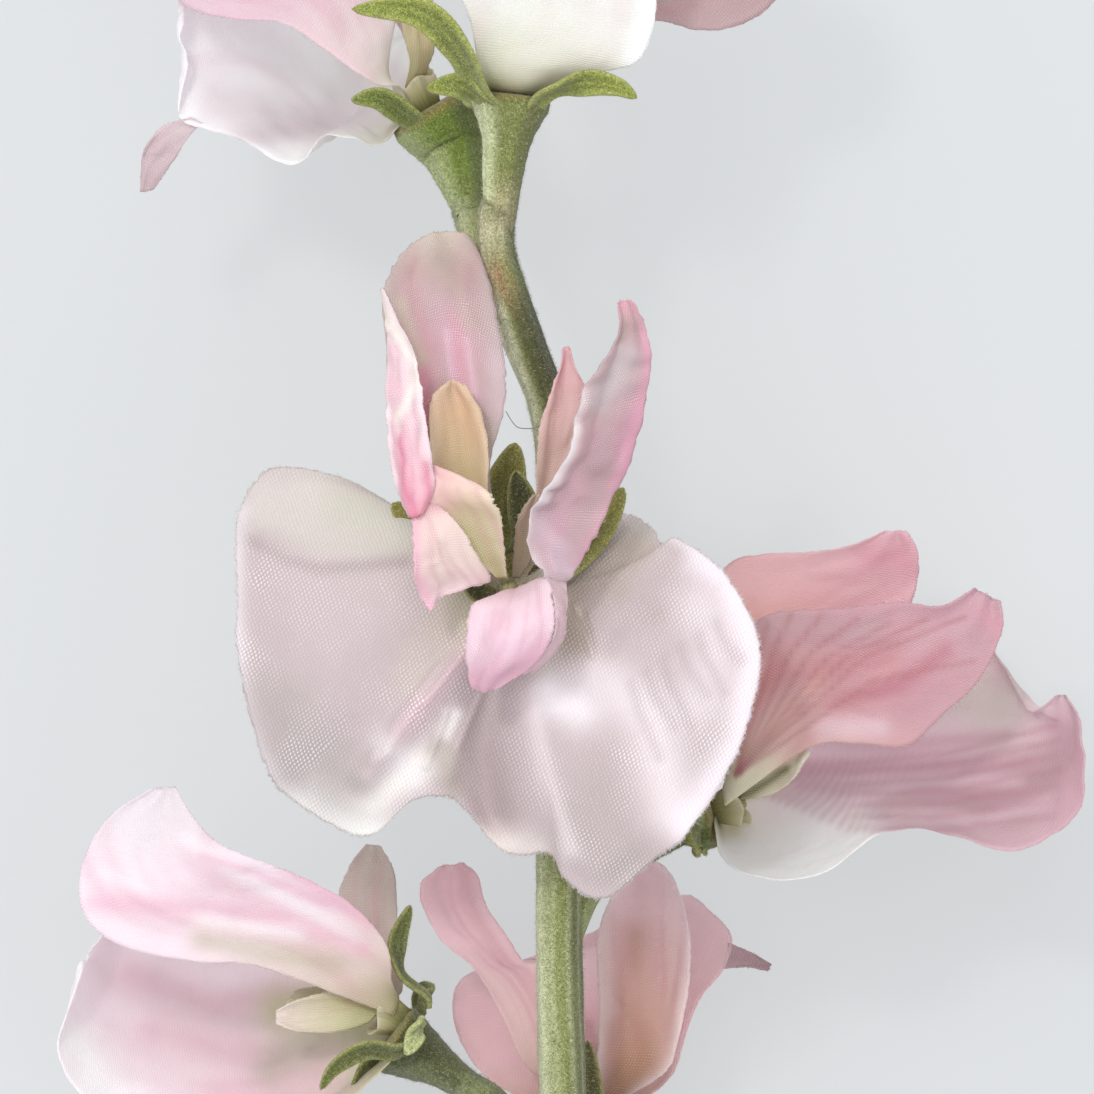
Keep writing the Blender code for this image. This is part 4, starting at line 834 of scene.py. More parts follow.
TOP_LEFT_BLOOM = {
    "hub": vec(-12.3, 46.1, 33), "axis": unit(vec(-0.5, 0.86, 0.04)), "stalk": vec(-7.9, 34.8, 38.6),
    "standard": {
        "petal": {"arc": (-50, -190), "bow": 0.06, "edges": (
            [(-3.4, -1.6, 2), (-5.5, -3.6, 3), (-8.4, -2.9, 4), (-11.3, -2.6, 4), (-13.7, -5.5, 3),
             (-16.3, -5.5, 2), (-20, -3.2, 1), (-24.9, -1.5, 1), (-26.5, -0.4, 0), (-25.6, 5, 0)],
            [(-1, 2.4, -10), (-2.1, 6.1, -23), (-3.2, 10.3, -35), (-4.7, 15.5, -35),
             (-8.4, 19.7, -31), (-13.7, 21.8, -22), (-20, 20.8, -12), (-25.2, 16.6, -5),
             (-26.5, 10.8, -1)])},
        "tip": [[(-25.4, -0.6, 0.4), (-24.8, -0.9, 0.4), (-24.2, -1.2, 0.6)],
                [(-28.6, -1.7, -0.5), (-27.3, -2.3, -0.5), (-25.6, -2.6, 0)],
                [(-30.5, -4.4, -1.5), (-29.2, -4.6, -1.4), (-27.1, -4.9, -1)],
                [(-30.8, -8.4, -2), (-30.3, -8.4, -2), (-29.4, -8.2, -1.8)]]},
    "wings": {
        "front": {"arc": (-40, -90), "bow": 0.06, "edges": (
            [(-3.4, 2.6, 4.4), (-6, 2.9, 5.4), (-10.8, 6.1, 6), (-15.6, 9.1, 6), (-21.2, 9.7, 6),
             (-26.3, 11.3, 6), (-28.4, 15.5, 6), (-26.8, 20.8, 6)],
            [(-4.6, 4.6, 1.2), (-3.8, 10, 2), (-4.4, 19.7, 3.2), (-8.4, 25, 4), (-14.7, 27.1, 5),
             (-22, 25, 6)])},
        "back": {"arc": (-170, -230), "bow": 0, "edges": (
            [(-2.4, 7, -3.4), (-5.4, 12, -4), (-10, 18, -5), (-13.5, 24, -6), (-12.5, 30, -6)],
            [(-2, 11, -3.4), (-2.8, 19, -3.6), (-4.4, 27, -4), (-8, 31, -5)])}},
    "keel": {
        "near": {"arc": (-50, 50), "bow": 0.1, "edges": (
            [(-2.2, 5.4, 3), (-3, 9, 4.8), (-2.6, 13.6, 6.6)],
            [(0.4, 6.6, 3.6), (0.4, 11, 5.6), (-0.8, 14.8, 7)])},
        "far": {"arc": (180, 130), "bow": 0, "edges": (
            [(-2.2, 5.4, -1.6), (-3, 9, -0.6), (-2.6, 12.6, 0.6)],
            [(0, 6.6, -1.2), (0, 10, -0.2), (-1, 13, 0.6)])}},
    "sepals": [
        ([(-2.6, -0.4, 4.8), (-5.4, 1.2, 6.6), (-8.3, 1, 7.4)], 2.6),
        ([(0.3, -2.6, 2.2), (0.3, -2.7, 2.6)], 0.8),
        ([(3.6, 0.6, -3), (4.2, 3.4, -4.6)], 2.6),
        ([(0, -1.2, -4.6), (-1.6, -0.8, -7)], 2.6),
        ([(-0.8, -1.8, -4), (-0.8, -1.6, -5)], 1.4)],
}

TOP_BLOOM = {
    "hub": vec(-3.8, 47.1, 43), "axis": unit(vec(0.1, 0.99, -0.04)), "stalk": vec(-5.1, 35.3, 43),
    "standard": {"petal": {"arc": (-70, 75), "bow": 0.08, "edges": (
        [(-2.7, 1.7, 2.6), (-3.5, 4, 4), (-4.3, 8.2, 5), (-5.9, 12.4, 5), (-7.5, 18.7, 5),
         (-6.4, 26, 4), (-2.2, 30.2, 3)],
        [(5.7, 2.2, 3), (9.3, 2.7, 4), (13.5, 4, 5), (15.1, 8.2, 6), (15.6, 12.4, 6),
         (18.8, 18.7, 5), (18.8, 25, 5), (14.6, 30.2, 5)])}},
    "wings": {
        "right": {"arc": (100, 165), "bow": 0.06, "edges": (
            [(4, 5.4, -1.6), (9, 7, -3), (15.1, 8.4, -4), (19.8, 7.5, -5), (24, 8, -6),
             (27.7, 10.3, -6), (29.3, 14.5, -6), (28.2, 19.7, -6)],
            [(3, 9, -2), (6, 13.4, -3), (11.4, 18.7, -4), (17.7, 22.9, -5), (24, 22.9, -6)])},
        "left": {"arc": (-100, -165), "bow": 0, "edges": (
            [(-1.4, 7, -2), (-4, 11, -3), (-6.6, 16, -4), (-7.4, 22, -5), (-5.6, 27, -6)],
            [(0.6, 10, -3), (1.4, 16, -4), (1, 24, -5), (-2, 28, -6)])}},
    "keel": {
        "left": {"arc": (-65, -15), "bow": 0, "edges": (
            [(-1.8, 7, -0.2), (-2.4, 10, -0.8), (-1.8, 14.6, -1.4)],
            [(-0.1, 7, 1), (-0.1, 11, 0.6), (-0.6, 15, -0.4)])},
        "right": {"arc": (15, 65), "bow": 0, "edges": (
            [(1, 7, 0.6), (1.4, 11, 0.4), (2, 15, -0.4)],
            [(2.8, 6.8, -0.2), (4, 10, -0.6), (3.8, 14, -1.2)])}},
    "sepals": [
        ([(-3.4, 1, 5), (-5.4, 5, 8.4), (-9.6, 8.8, 9.6), (-16.6, 9.2, 9)], 3.2),
        ([(-3.4, 0.3, 4), (-5.6, 1.3, 5.2), (-8.8, 1, 5.6)], 2.6),
        ([(4, 0.7, 4), (7.6, 1.6, 5.2), (11, 1.2, 5.8), (13.2, 0, 5.8)], 2.7),
        ([(1.6, -0.8, -4.6), (2.4, 0.6, -6.6)], 2.4),
        ([(-3.2, -0.8, -4), (-4, 1.6, -7.4)], 3)],
}

BLOOMS = {"centre": CENTRE_BLOOM, "right": RIGHT_BLOOM, "low_left": LOW_LEFT_BLOOM,
          "low_back": LOW_BACK_BLOOM, "top_left": TOP_LEFT_BLOOM, "top": TOP_BLOOM}

STEM_PATH = [(3, -128, 2.3), (4, -112, 5.4), (4, -92, 13), (2.8, -74, 20.6), (1.6, -57.4, 26.6),
             (1.2, -37, 31), (1.2, -10, 36), (0.7, 11.2, 40), (-2.3, 21.7, 42), (-5, 30, 43),
             (-5.4, 34.5, 43)]
STEM_RADII = [2.6, 2.6, 2.5, 2.5, 2.45, 2.4, 2.3, 2.05, 1.95, 1.85, 1.8]
# Each stalk leaves the stem at the first point and runs on to the foot of its calyx.
STALKS = {
    "centre": [(1.2, -18, 34.4), (-1.4, -13, 33.6)],
    "right": [(1.6, -43, 29.6), (4.4, -36.4, 28.4)],
    "low_left": [(2.6, -72, 21.2), (-1.6, -63.4, 23.4)],
    "low_back": [(3.8, -90, 13.6), (4, -81, 13.6)],
    "top_left": [(1.2, 11.2, 39.8), (-3.3, 22, 41)],
}
print("blooms:", list(BLOOMS))


# %% [markdown]
# ## Where the spray lies
# The outlines above were drawn from a point near the open bloom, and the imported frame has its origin
# under the middle of the whole spray. The move between the two is measured: it is the difference
# between the middle of the open bloom's solid and the middle of the same outline.

# %% Place in the frame
solid_box = np.array(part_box("standard_centre")) / MM
outline = CENTRE_BLOOM["hub"] + np.array(CENTRE_BLOOM["standard"]["petal"]["margin"])
dense = spline(outline, 34)
shift = solid_box.mean(0) - 0.5 * (dense.min(0) + dense.max(0))
shift[2] = 0
print("move to the packed frame in mm:", shift.round(2).tolist())

# %% [markdown]
# ## Petals
# Now every lobe is computed on a fine grid. The open bloom faces the viewer, so its marks are drawn
# one by one: the folded shoulder of the left lobe, the pinched valley between the lobes, the ribs
# pressed in the right lobe. The other blooms get veins and ruffles from the general functions. The
# dyes are brushed on as strokes, and with them much painted shade and painted highlight. The open
# petal also gets a painted sheen: strong painted highlights on its weave over its lit slopes and
# margins, weak ones in the valley and on the folded shoulder. A rolled strip of gathered cloth hides
# the glued bases.

# %% Marks of the open bloom's standard
PRESSED_RIBS = [[(12.9 + 1.8 * k, -10.2 + 1.3 * k), (13.6 + 1.8 * k, -13 + 1.4 * k + 0.5 * (k % 2)),
                 (15.8 + 1.7 * k, -17.8 + 1.7 * k + 1.6 * (k % 2))] for k in range(6)]
CRUMPLES = [[(-5, -7), (-9, -12)], [(-7.4, -8), (-12.4, -14.6)], [(-9.6, -12), (-13, -17)],
            [(-12.6, -17.4), (-14.6, -18.2), (-14.2, -17)], [(-3, -11), (-5.4, -16.6)],
            [(-6.6, -13), (-8.8, -18.6)]]
# Each ridge: its line in the plan, its height and its width in mm. A negative height is a groove.
RIDGES = [
    ([(-3, -5), (-6.8, -9.4), (-11.5, -15), (-15.2, -19.8)], 1.5, 1.5),
    ([(-3.2, -9), (-5.6, -14), (-8.6, -20)], -0.25, 1.2), ([(-1.2, -9), (-3, -16), (-2, -24)], -2.6, 2.6),
    ([(2, -10), (3.7, -20), (6.3, -27.4)], 0.9, 1.6), ([(6, -12), (9, -22), (12, -29)], -0.8, 3.0),
    ([(8, -5), (15, -13), (18, -23)], 1.0, 4.0), ([(-12, -2), (-18, -8), (-22, -16)], 0.8, 4.0),
    ([(6.8, -1.8), (7.8, -3.4), (8.6, -6.9)], 0.5, 0.35),
    *[(line, -0.3, 0.7) for line in PRESSED_RIBS], *[(line, 0.32, 0.4) for line in CRUMPLES]]


def open_standard_marks(spots, v):
    """Sum of the folds, ridges and ribs, each a function of the plan, and a curl near the margin."""
    x, y = spots[..., 0], spots[..., 1]
    left = smooth(x, -7, -10)
    right = smooth(x, 3, 6) * smooth(y, -9, -4)
    height = left * fold(spots, (-27.5, 4.4), (-10.5, 3.2), 0.75, 0.9)
    height += right * fold(spots, (8.6, -6.9), (17, 5.1), 0.6, 0.8)
    for line, high, wide in RIDGES:
        height += ridge(spots, line, high, wide)
    turns = np.linspace(0, 1, spots.shape[1])[None, :]
    curl = 0.15 + 0.6 * np.sin(23 * turns) + 0.4 * np.sin(61 * turns + 1)
    return height - curl * smooth(v, 0.88, 1.0)


print("ridges and grooves of the open petal:", len(RIDGES))

# %% [markdown]
# ## The dyes and painted light of each petal
# Each layer has plain dyes, and many lobes have their own; a few of these hold painted shade. A dye
# is a pair: how far along the petal it lies, from the root at 0 to the tip at 1, and its colour as two
# hexadecimal digits each for red, green and blue. A stroke is laid over them: its line in the plan,
# measured from the hub, its width in mm, its colour and its strength. Many strokes are painted shade
# and painted highlights rather than dye.

# %% Dyes, painted shade and painted highlights of each layer
CREAM, GREEN_CREAM = "eeeae2", "ccc8a4"
PALE, WHITE = "cdbdbf", "f3ecef"
ROSE, DEEP_ROSE, PEACH = "e2bec7", "d692a4", "e2c4b4"
BEIGE, GOLD_GREEN, OFF_WHITE = "ceb694", "c0b884", "ece8e6"

PLAIN_DYES = {
    "standard": [(0, GREEN_CREAM), (0.16, CREAM), (0.4, PALE), (0.85, PALE), (1, WHITE)],
    "wings": [(0, GOLD_GREEN), (0.2, PEACH), (0.45, ROSE), (0.85, ROSE), (1, "eed6de")],
    "keel": [(0, GOLD_GREEN), (0.35, "ccc49c"), (0.7, BEIGE), (1, CREAM)]}
PLAIN_SIDES = {"standard": OFF_WHITE, "wings": OFF_WHITE, "keel": CREAM}
LOBE_DYES = {
    ("centre", "petal"): [(0, GREEN_CREAM), (0.14, "cec8b2"), (0.3, PALE), (0.85, PALE), (1, PALE)],
    ("centre", "left blade"): [
        (0, GOLD_GREEN), (0.2, "cebe9e"), (0.4, "ccb6b2"), (0.6, "d0aeb4"), (0.84, "ccb8b0"),
        (1, "d6c8ba")],
    ("centre", "left fold"): [
        (0, "f0e6e2"), (0.3, "f8ecee"), (0.5, "fae4ea"), (0.8, "fad0dc"), (1, "ecacbc")],
    ("centre", "left panel"): [
        (0, "cec68e"), (0.45, "e4dcb2"), (0.7, "fae4d6"), (0.9, "fad4d4"), (1, "f0b2c2")],
    ("centre", "left tail"): [(0, "f0b8c6"), (0.12, "f8e2dc"), (0.5, "f8e8e0"), (1, "fae2e8")],
    ("centre", "right ribbon"): [
        (0, GREEN_CREAM), (0.12, "e4ced2"), (0.3, "d6b4bb"), (0.5, "c8aaae"), (0.75, "cab0b2"),
        (0.92, "c8aeae"), (1, "e6b2be")],
    ("centre", "right back"): [(0, GREEN_CREAM), (0.3, "e4ccbc"), (0.7, "eac6c4"), (1, "f0c6cc")],
    ("centre", "right tongue"): [(0, GREEN_CREAM), (0.3, "f4dee6"), (0.6, "f7dee9"), (1, "f2d0df")],
    ("centre", "right band"): [(0, "e4ccd0"), (1, "e8ccd4")],
    # The open bloom's right keel: cream cloth in painted shade, darkest at its root.
    ("centre", "right"): [(0, "8c7c60"), (0.5, "a08c78"), (1, "c4ac98")],
    ("centre", "left"): [(0, GOLD_GREEN), (0.35, "c4b88a"), (0.7, "dcb894"), (1, "dec0a2")],
    ("right", "petal"): [
        (0, GREEN_CREAM), (0.1, "f6f2ec"), (0.3, "fcf8f8"), (0.55, "eed0d8"), (0.8, "d6b2bc"),
        (1, "d4b6be")],
    ("right", "front"): [
        (0, "f0ecce"), (0.14, "f2e4d0"), (0.3, "e6c4be"), (0.6, "daaeb6"), (1, "d8b2bc")],
    ("right", "back"): [(0, GOLD_GREEN), (0.2, PEACH), (0.5, "eec6c6"), (1, "eac6ce")],
    ("right", "near"): [(0, "b0aa6e"), (0.4, "e2dcbe"), (1, "f4eee0")],
    ("low_left", "front"): [
        (0, GOLD_GREEN), (0.16, "e6d6cc"), (0.4, "fceef4"), (0.7, "faeef4"), (1, "eee6ea")],
    ("low_left", "back"): [(0, "c4b8a0"), (0.4, "d2c4bc"), (1, "d6cac2")],
    ("low_left", "petal"): [
        (0, "c4c28c"), (0.2, "ded8c0"), (0.45, "f6e6ea"), (0.75, "faecf2"), (1, "fcfafb")],
    ("low_left", "near"): [(0, "aaa664"), (0.4, "cec89e"), (1, "e6d6d0")],
    ("low_left", "far"): [(0, "a0a060"), (0.4, "b2ae7c"), (1, "ccc4a6")],
    ("low_back", "left"): [(0, "c4a088"), (0.3, "f4d8d6"), (0.7, "f6d8de"), (1, "f0d0d6")],
    # The low back bloom's right wing: warm brown painted shade at its root, fading to its pink.
    ("low_back", "right"): [
        (0, "966c50"), (0.25, "be8e72"), (0.55, "ecc8c2"), (0.8, "f4d8dc"), (1, "f4dae0")],
    ("low_back", "petal"): [(0, "d8beac"), (0.3, "f8dade"), (1, "f6e2e6")],
    ("low_back", "tip"): [(0, "ccb0b4"), (1, "b4969c")],
    ("top_left", "front"): [(0, "e4e2c6"), (0.2, "f4eeea"), (0.5, "e8d2da"), (1, "e4c8d3")],
    ("top_left", "petal"): [(0, "cec8aa"), (0.25, "fafaf6"), (0.6, "fefdfe"), (1, "fefcfe")],
    ("top_left", "tip"): [(0, "e2d4d6"), (1, "d0babe")],
    ("top_left", "near"): [(0, "bcb482"), (0.5, "cec098"), (1, "d6c6a4")],
    ("top", "petal"): [
        (0, "847a4c"), (0.05, "b0aa7a"), (0.12, "e0dec8"), (0.35, "f0f1ec"), (1, "f0f0f2")],
    ("top", "right"): [(0, PEACH), (0.4, "d2b8b8"), (1, "c8a8ac")]}
LOBE_SIDES = {("centre", "left blade"): "cebeba", ("centre", "left fold"): "fcf2f4",
              ("centre", "left panel"): "f8e8d4", ("centre", "left"): "e2ccb2",
              ("low_back", "right"): "faecee"}
# Strokes lay more dye, and also painted shade and painted highlights; the painted ones are named where
# they stand.
STROKES = {
    ("centre", "petal"): [
        ([(-20, 9), (-11.5, 6)], 3.6, "d8d8c8", 0.85), ([(-26, 10), (-22, 10)], 3.6, "e4dbd8", 0.8),
        ([(-26, 7.6), (-19, 5.4), (-13, 5)], 2.4, "e2dcd6", 0.6),
        # A painted shadow along the fold of the left shoulder.
        ([(-27.2, 4.8), (-23.5, 3), (-20, 2.1), (-15.5, 2.4), (-11, 2.8)], 0.8, "b8a8aa", 0.75),
        # Painted highlights along the left margin and on the lower left margin.
        ([(-28.6, 8), (-29, 0), (-28.8, -8), (-26.5, -17), (-22.5, -23)], 1.2, WHITE, 0.75),
        ([(-21, -22), (-15.4, -25.4)], 3.2, "fffefa", 0.95),
        ([(-8, -5), (-10, -9)], 2.6, "d2c6bc", 0.6),
        ([(-4, -5.4), (-6.2, -9.2), (-9.4, -12.2), (-11.2, -15)], 1.1, "eac6ce", 0.45),
        ([(-9, -12.4), (-15.2, -19.8)], 0.9, "dac0c4", 0.45),
        # Painted shade in the valley between the lobes; then a small painted highlight, a greenish-brown
        # strip, a painted highlight on the ridge left of the valley, painted light where the tongue
        # shades the cloth, and painted light on the right lobe's outer part.
        ([(-3.6, -11), (-3.2, -17), (-1, -23)], 2.6, "bcaaaa", 0.85),
        ([(-5.8, -13.2), (-6.8, -15.4)], 0.8, "fcf6f4", 0.8),
        ([(-6.6, -17), (-6, -21.6)], 0.8, "c6bcae", 0.7),
        ([(-8.8, -18), (-14.7, -22.4)], 1.8, "fcf8f3", 0.9),
        ([(4.2, -11.4), (7.4, -12.4)], 2.6, "fef8fb", 0.9),
        ([(20, -2), (22, -6), (20, -12)], 2.8, "f8eef2", 0.5),
        # A painted highlight by the ridge, and painted shade in the valley.
        ([(-13, -16.5), (-10, -19.6)], 1.7, WHITE, 0.6), ([(1, -14), (0.6, -18)], 1.6, "c4b2b4", 0.35),
        ([(-26.5, 3), (-25, -4)], 2.6, "c4b4b6", 0.5), ([(-26.5, -10), (-23, -19)], 2.4, "beb0b0", 0.5),
        # Painted shade right of the crease, by the right fold and at the lower edge, and a painted
        # highlight along the next ridge.
        ([(-7.6, -17), (-6.4, -20)], 1.6, "bcaea8", 0.7),
        ([(12, -0.5), (15, -2.5)], 1.8, "bcaaa6", 0.6), ([(6.5, -25), (10, -28.4)], 2.4, "b6a8a6", 0.7),
        ([(2, -11.7), (3.7, -20), (6.3, -27.4)], 1.5, "eee2e4", 0.6),
        # A paler stroke at the bottom, and painted shade in the lower groove of the right lobe and on the
        # lower left lobe.
        ([(-2, -27), (3, -27.4)], 1.8, "ece4de", 0.7), ([(9, -22), (13, -29)], 4.0, "bcaeac", 0.7),
        ([(-24, -13), (-18, -20)], 4.2, "baaeac", 0.75),
        # A painted highlight and a painted shadow side by side along the edge of the right fold.
        ([(7.2, -2.4), (8.3, -6.6)], 0.35, "eee6d6", 0.8),
        ([(7.9, -2.6), (8.9, -6.6)], 0.35, "a69688", 0.7),
        # Painted highlights on the right lobe and along its margin.
        ([(9, -9), (15, -14), (17, -23)], 3.0, "f4eaee", 0.7),
        ([(11.5, 7.4), (17.3, 5), (23, 1), (26, -7), (24, -16), (18.6, -25)], 1.9, "faf1f6", 0.85),
        # The turned-up back of the cloth, beige and in painted shade, and painted shade by the fold's
        # tip; then a painted shadow along the right fold's line.
        ([(7, 0.2), (13.5, 5)], 3.2, "c8bcb0", 0.9), ([(4.6, -3), (7, -6)], 1.6, "c4b8a6", 0.7),
        ([(17, 3.4), (13.4, -1.8), (10.4, -6)], 1.5, "c6b5b7", 0.75),
        # Painted shade in the grooves of the pressed ribs.
        *[(line, 0.6, "ccbcc1", 0.45) for line in PRESSED_RIBS]],
    ("centre", "left fold"): [
        # A painted highlight along the fold's edge.
        ([(-13.4, 29.1), (-11.6, 26.4), (-10.3, 24.1), (-9.7, 21.7), (-10.7, 19.6), (-11.6, 17.8)],
         0.55, "fcf4ee", 0.95),
        ([(-11.3, 15.7), (-11.1, 12.5), (-10.5, 9.4), (-9.5, 6.8)], 0.45, "ea96b2", 0.8),
        # Deeper pink where the panel tucks under the strip: the pink dye darkened by painted shade, here
        # and in the last stroke of the next line.
        ([(-8.8, 12.9), (-8.4, 10.4), (-8.8, 8.3)], 0.5, "e68ca8", 0.7),
        ([(-12.2, 25), (-12, 20)], 0.8, "f0c8d6", 0.6), ([(-9.5, 6.6), (-9.2, 7.4)], 0.6, "da7694", 0.7)],
    ("centre", "left panel"): [
        ([(-5.7, 6.6), (-4.6, 4.8), (-3.6, 3)], 0.8, "bec678", 0.7),
        ([(-8.4, 10.4), (-7, 9)], 1.4, "f0bec8", 0.5)],
    ("centre", "left blade"): [
        ([(-5.6, 29.3), (-5.6, 24), (-4.4, 20)], 1.8, "deb4ca", 0.5),
        ([(-9.4, 22.2), (-8.4, 16.7)], 1.1, "eea0b4", 0.6),
        ([(-6.6, 27), (-6, 22)], 0.35, "ecceda", 0.6), ([(-4.6, 26), (-3.6, 20)], 0.35, "eed0dc", 0.6),
        ([(-1.4, 24), (-1, 18)], 1.0, "dec8d0", 0.6),
        ([(-5.6, 29), (-5, 21), (-4, 14)], 0.9, "e0a4b2", 0.55),
        ([(-8.4, 27), (-7.8, 21)], 0.8, "deacb6", 0.4), ([(-7, 34), (-4, 28)], 1.4, "c6b4a8", 0.6),
        ([(-11.5, 30), (-9.4, 24)], 0.9, "d6cab4", 0.6)],
    ("centre", "left tail"): [([(-10.2, 8), (-10, 2), (-8.6, -2)], 0.9, "f4c4d6", 0.85)],
    ("centre", "right ribbon"): [
        ([(12.2, 24.5), (11.4, 22.4), (9.3, 19.6)], 1.5, "cec2c4", 0.8),
        ([(13.2, 18.4), (11.4, 14.6)], 1.3, "d49cb2", 0.6),
        ([(9.3, 15.4), (8.9, 13.2)], 0.9, "c6a0ac", 0.55),
        ([(14.3, 27.6), (14.5, 23), (13.2, 16.7), (11.1, 11.2)], 0.7, "eeb0c8", 0.7),
        ([(2.9, 7.4), (5, 4), (5.6, 2)], 1.4, "e6cedc", 0.6),
        ([(4.8, 7.6), (5, 6.8)], 0.8, "d2acc0", 0.6),
        # Painted highlights along the ribbon's left edge.
        ([(6.9, 17), (5.9, 13.3), (4.6, 11.4), (3.2, 9.4)], 0.5, "f6f0f3", 0.8),
        ([(3.5, 1.4), (2.1, 4.1), (1.9, 7.2), (3.7, 10.4), (5.9, 13.3), (6.9, 17.4), (7.6, 20.6)], 0.6,
         "f0e8ea", 0.6),
        ([(7.6, 3), (9.7, 7.2), (11.8, 11.4), (13.3, 15.1), (14.2, 19), (14.7, 22.8)], 0.9, "e8b2c2",
         0.6),
        ([(4.6, 6), (7.4, 11)], 0.9, "e2b0be", 0.5)],
    ("centre", "right tongue"): [
        ([(-3.6, -9.6), (1, -8.4), (3.6, -6)], 1.6, "f0c0d2", 0.7),
        ([(-3.6, -2), (0, -1.4)], 0.8, "fce8f0", 0.6)],
    ("right", "petal"): [
        # Painted light on the band that the wings shade.
        ([(8, 5.4), (16, 5), (24, 7.4), (35, 9.6)], 3.0, "f6d8e2", 0.85),
        ([(9, 7.4), (18, 8), (26, 9.6), (35, 10.6)], 2.0, "fce8f0", 0.7),
        ([(19, -1.4), (26, -0.6), (32, 0), (37, 4)], 3.0, "c2a0a6", 0.85),
        ([(2, 3), (5, 3.4)], 2.0, "faf6e4", 0.8),
        ([(0, -4.4), (8, -6.6), (16, -3)], 3.2, "f4f4f2", 0.9),
        # Painted light on the part that the wing shades.
        ([(24, 14.5), (31, 11)], 4.4, "e8deda", 0.95),
        ([(3, 3.6), (16, 4.2), (34, 5)], 0.8, "ce96a6", 0.3),
        ([(12, 6.8), (20, 6.6), (32, 8)], 0.6, "ce98a8", 0.3),
        ([(10, 2.4), (20, 1.6), (34, 1.6)], 0.8, "ce9aa8", 0.3),
        ([(20, -0.4), (30, -1), (36, 1)], 0.9, "f0d6de", 0.5),
        ([(14, 0), (22, 3), (33, 3)], 0.6, "f2dae2", 0.5),
        # A dark line of painted shade in the gap between the keel and this petal.
        ([(0.7, 0.9), (4.2, 1.6), (8.6, 3.6)], 0.6, "848240", 0.8),
        ([(0.2, -0.6), (2.4, -1.6)], 1.4, "c4be8c", 0.8),
        *[([(6, 4.6 - 0.5 * k), (15, 4.8 - 1.1 * k), (26, 6 - 1.3 * k), (37, 9 - 1.6 * k)], 0.35,
           "c48c9c", 0.32) for k in range(7)],
        ([(38.6, 1), (39.6, 6)], 1.4, "e2bcc8", 0.6)],
    ("right", "near"): [
        ([(2, 3), (5, 4)], 2.4, "f4f0da", 0.8),
        # A dark line of painted shade in the gap between this keel and the standard.
        ([(0.7, 0.9), (4.2, 1.8), (8.2, 4.4)], 0.5, "6e6a2c", 0.85)],
    ("right", "front"): [
        ([(3, 8), (5.4, 13), (7.4, 16)], 1.1, "ce7a78", 0.5), ([(1.6, 9), (3, 13)], 1.2, "e2b09c", 0.6),
        ([(4, 6), (9, 11), (12, 15)], 0.7, "ecbeb0", 0.6),
        ([(5, 5), (12, 10), (20, 16)], 0.6, "e8bcbe", 0.5),
        ([(8, 13), (14, 17), (18, 21)], 0.8, "e0babe", 0.5),
        ([(3.4, 13), (9, 14.4), (19, 16.6)], 1.8, "cc848c", 0.45),
        ([(10, 10.6), (20, 13.4), (25, 17)], 1.1, "c67a8a", 0.65),
        # A painted highlight along the lower edge.
        ([(12, 9), (18, 9)], 1.3, "eed8e0", 0.7),
        ([(21, 10.4), (27, 14.4), (30, 20)], 2.2, "cca6ae", 0.5),
        ([(6, 20), (17, 19.4)], 2.0, "d0b2b8", 0.6), ([(29, 21), (31, 19)], 1.0, "deaab6", 0.7),
        ([(1, 2), (5, 5)], 2.0, "f0eed6", 0.8), ([(6, 8), (10, 11)], 2.4, "eccec8", 0.5),
        *[([(3, 4), (2 + 0.55 * x, 4 + 0.62 * y), (x, y)], 0.3, "ba7076", 0.4) for x, y in zip(
            (4, 6, 8.6, 12, 15.6, 19, 23, 27, 28), (18, 20, 21, 21, 20.6, 20, 20.4, 20.6, 16))]],
    ("right", "back"): [
        ([(2, 19), (10, 19.6)], 2.4, "e4b0a2", 0.6), ([(17, 27), (20.6, 27)], 1.6, "e6b0bc", 0.7)],
    ("low_left", "front"): [
        ([(-24, 20), (-14, 14), (-6, 9)], 0.9, "fdf9fb", 0.6),
        ([(-32, 16), (-20, 11)], 0.8, "fcf4f8", 0.6),
        ([(-5, 8), (-14, 11.4), (-24, 12.6), (-33.4, 13)], 1.1, "f0c0d2", 0.5),
        ([(-9, 13), (-17, 16.4), (-22, 18)], 0.5, "f0c4d4", 0.5),
        ([(-12, 9.6), (-22, 11)], 1.0, "fef8fa", 0.7), ([(-28, 21), (-24, 24)], 3.4, "eee6ea", 0.9),
        ([(-8, 6.4), (-22, 9)], 1.4, "cec6ac", 0.5), ([(-4, 11), (-13, 17)], 1.0, "f0bace", 0.6)],
    ("low_left", "petal"): [
        ([(-31, 7), (-22, 4), (-12, 6)], 2.2, "fef0f6", 0.8),
        ([(-9, -6), (-20, -8)], 2.4, "f0c8d6", 0.5),
        ([(-30, 5), (-21, 1.6), (-13, 2.4)], 1.5, "e8becc", 0.4),
        ([(-28, -1), (-20, -3), (-14, -4.4)], 1.5, "eac2d0", 0.4),
        ([(-11, -2), (-15, -5)], 2.2, "c4bcac", 0.6),
        ([(-36, -2), (-33, -7), (-28, -11)], 3.0, "faf8f8", 0.9),
        ([(-6, 1), (-14, 1)], 2.4, "ced0a0", 0.7)],
    ("low_back", "right"): [
        # Orange-brown painted shade inside the wing, then a pale line.
        ([(4, 8), (5, 20)], 1.6, "cea08c", 0.45), ([(2, 12), (1.4, 24)], 0.9, "ead6d4", 0.6)],
    ("top_left", "petal"): [
        ([(-8, 0), (-16, -1), (-23, 1)], 2.6, "e8dfe2", 0.7),
        ([(-10, -1), (-20, -3)], 1.2, "ded2d6", 0.5)],
    ("top_left", "front"): [([(-22, 9.6), (-13, 7.4), (-7, 3.4)], 1.1, "f0c8d4", 0.35)],
    ("top", "petal"): [
        ([(2, 3), (4, 7)], 3.0, "eeece2", 0.5), ([(13, 4), (15.4, 10)], 1.4, "fafafc", 0.8)]}
print("petals with brush strokes:", len(STROKES))

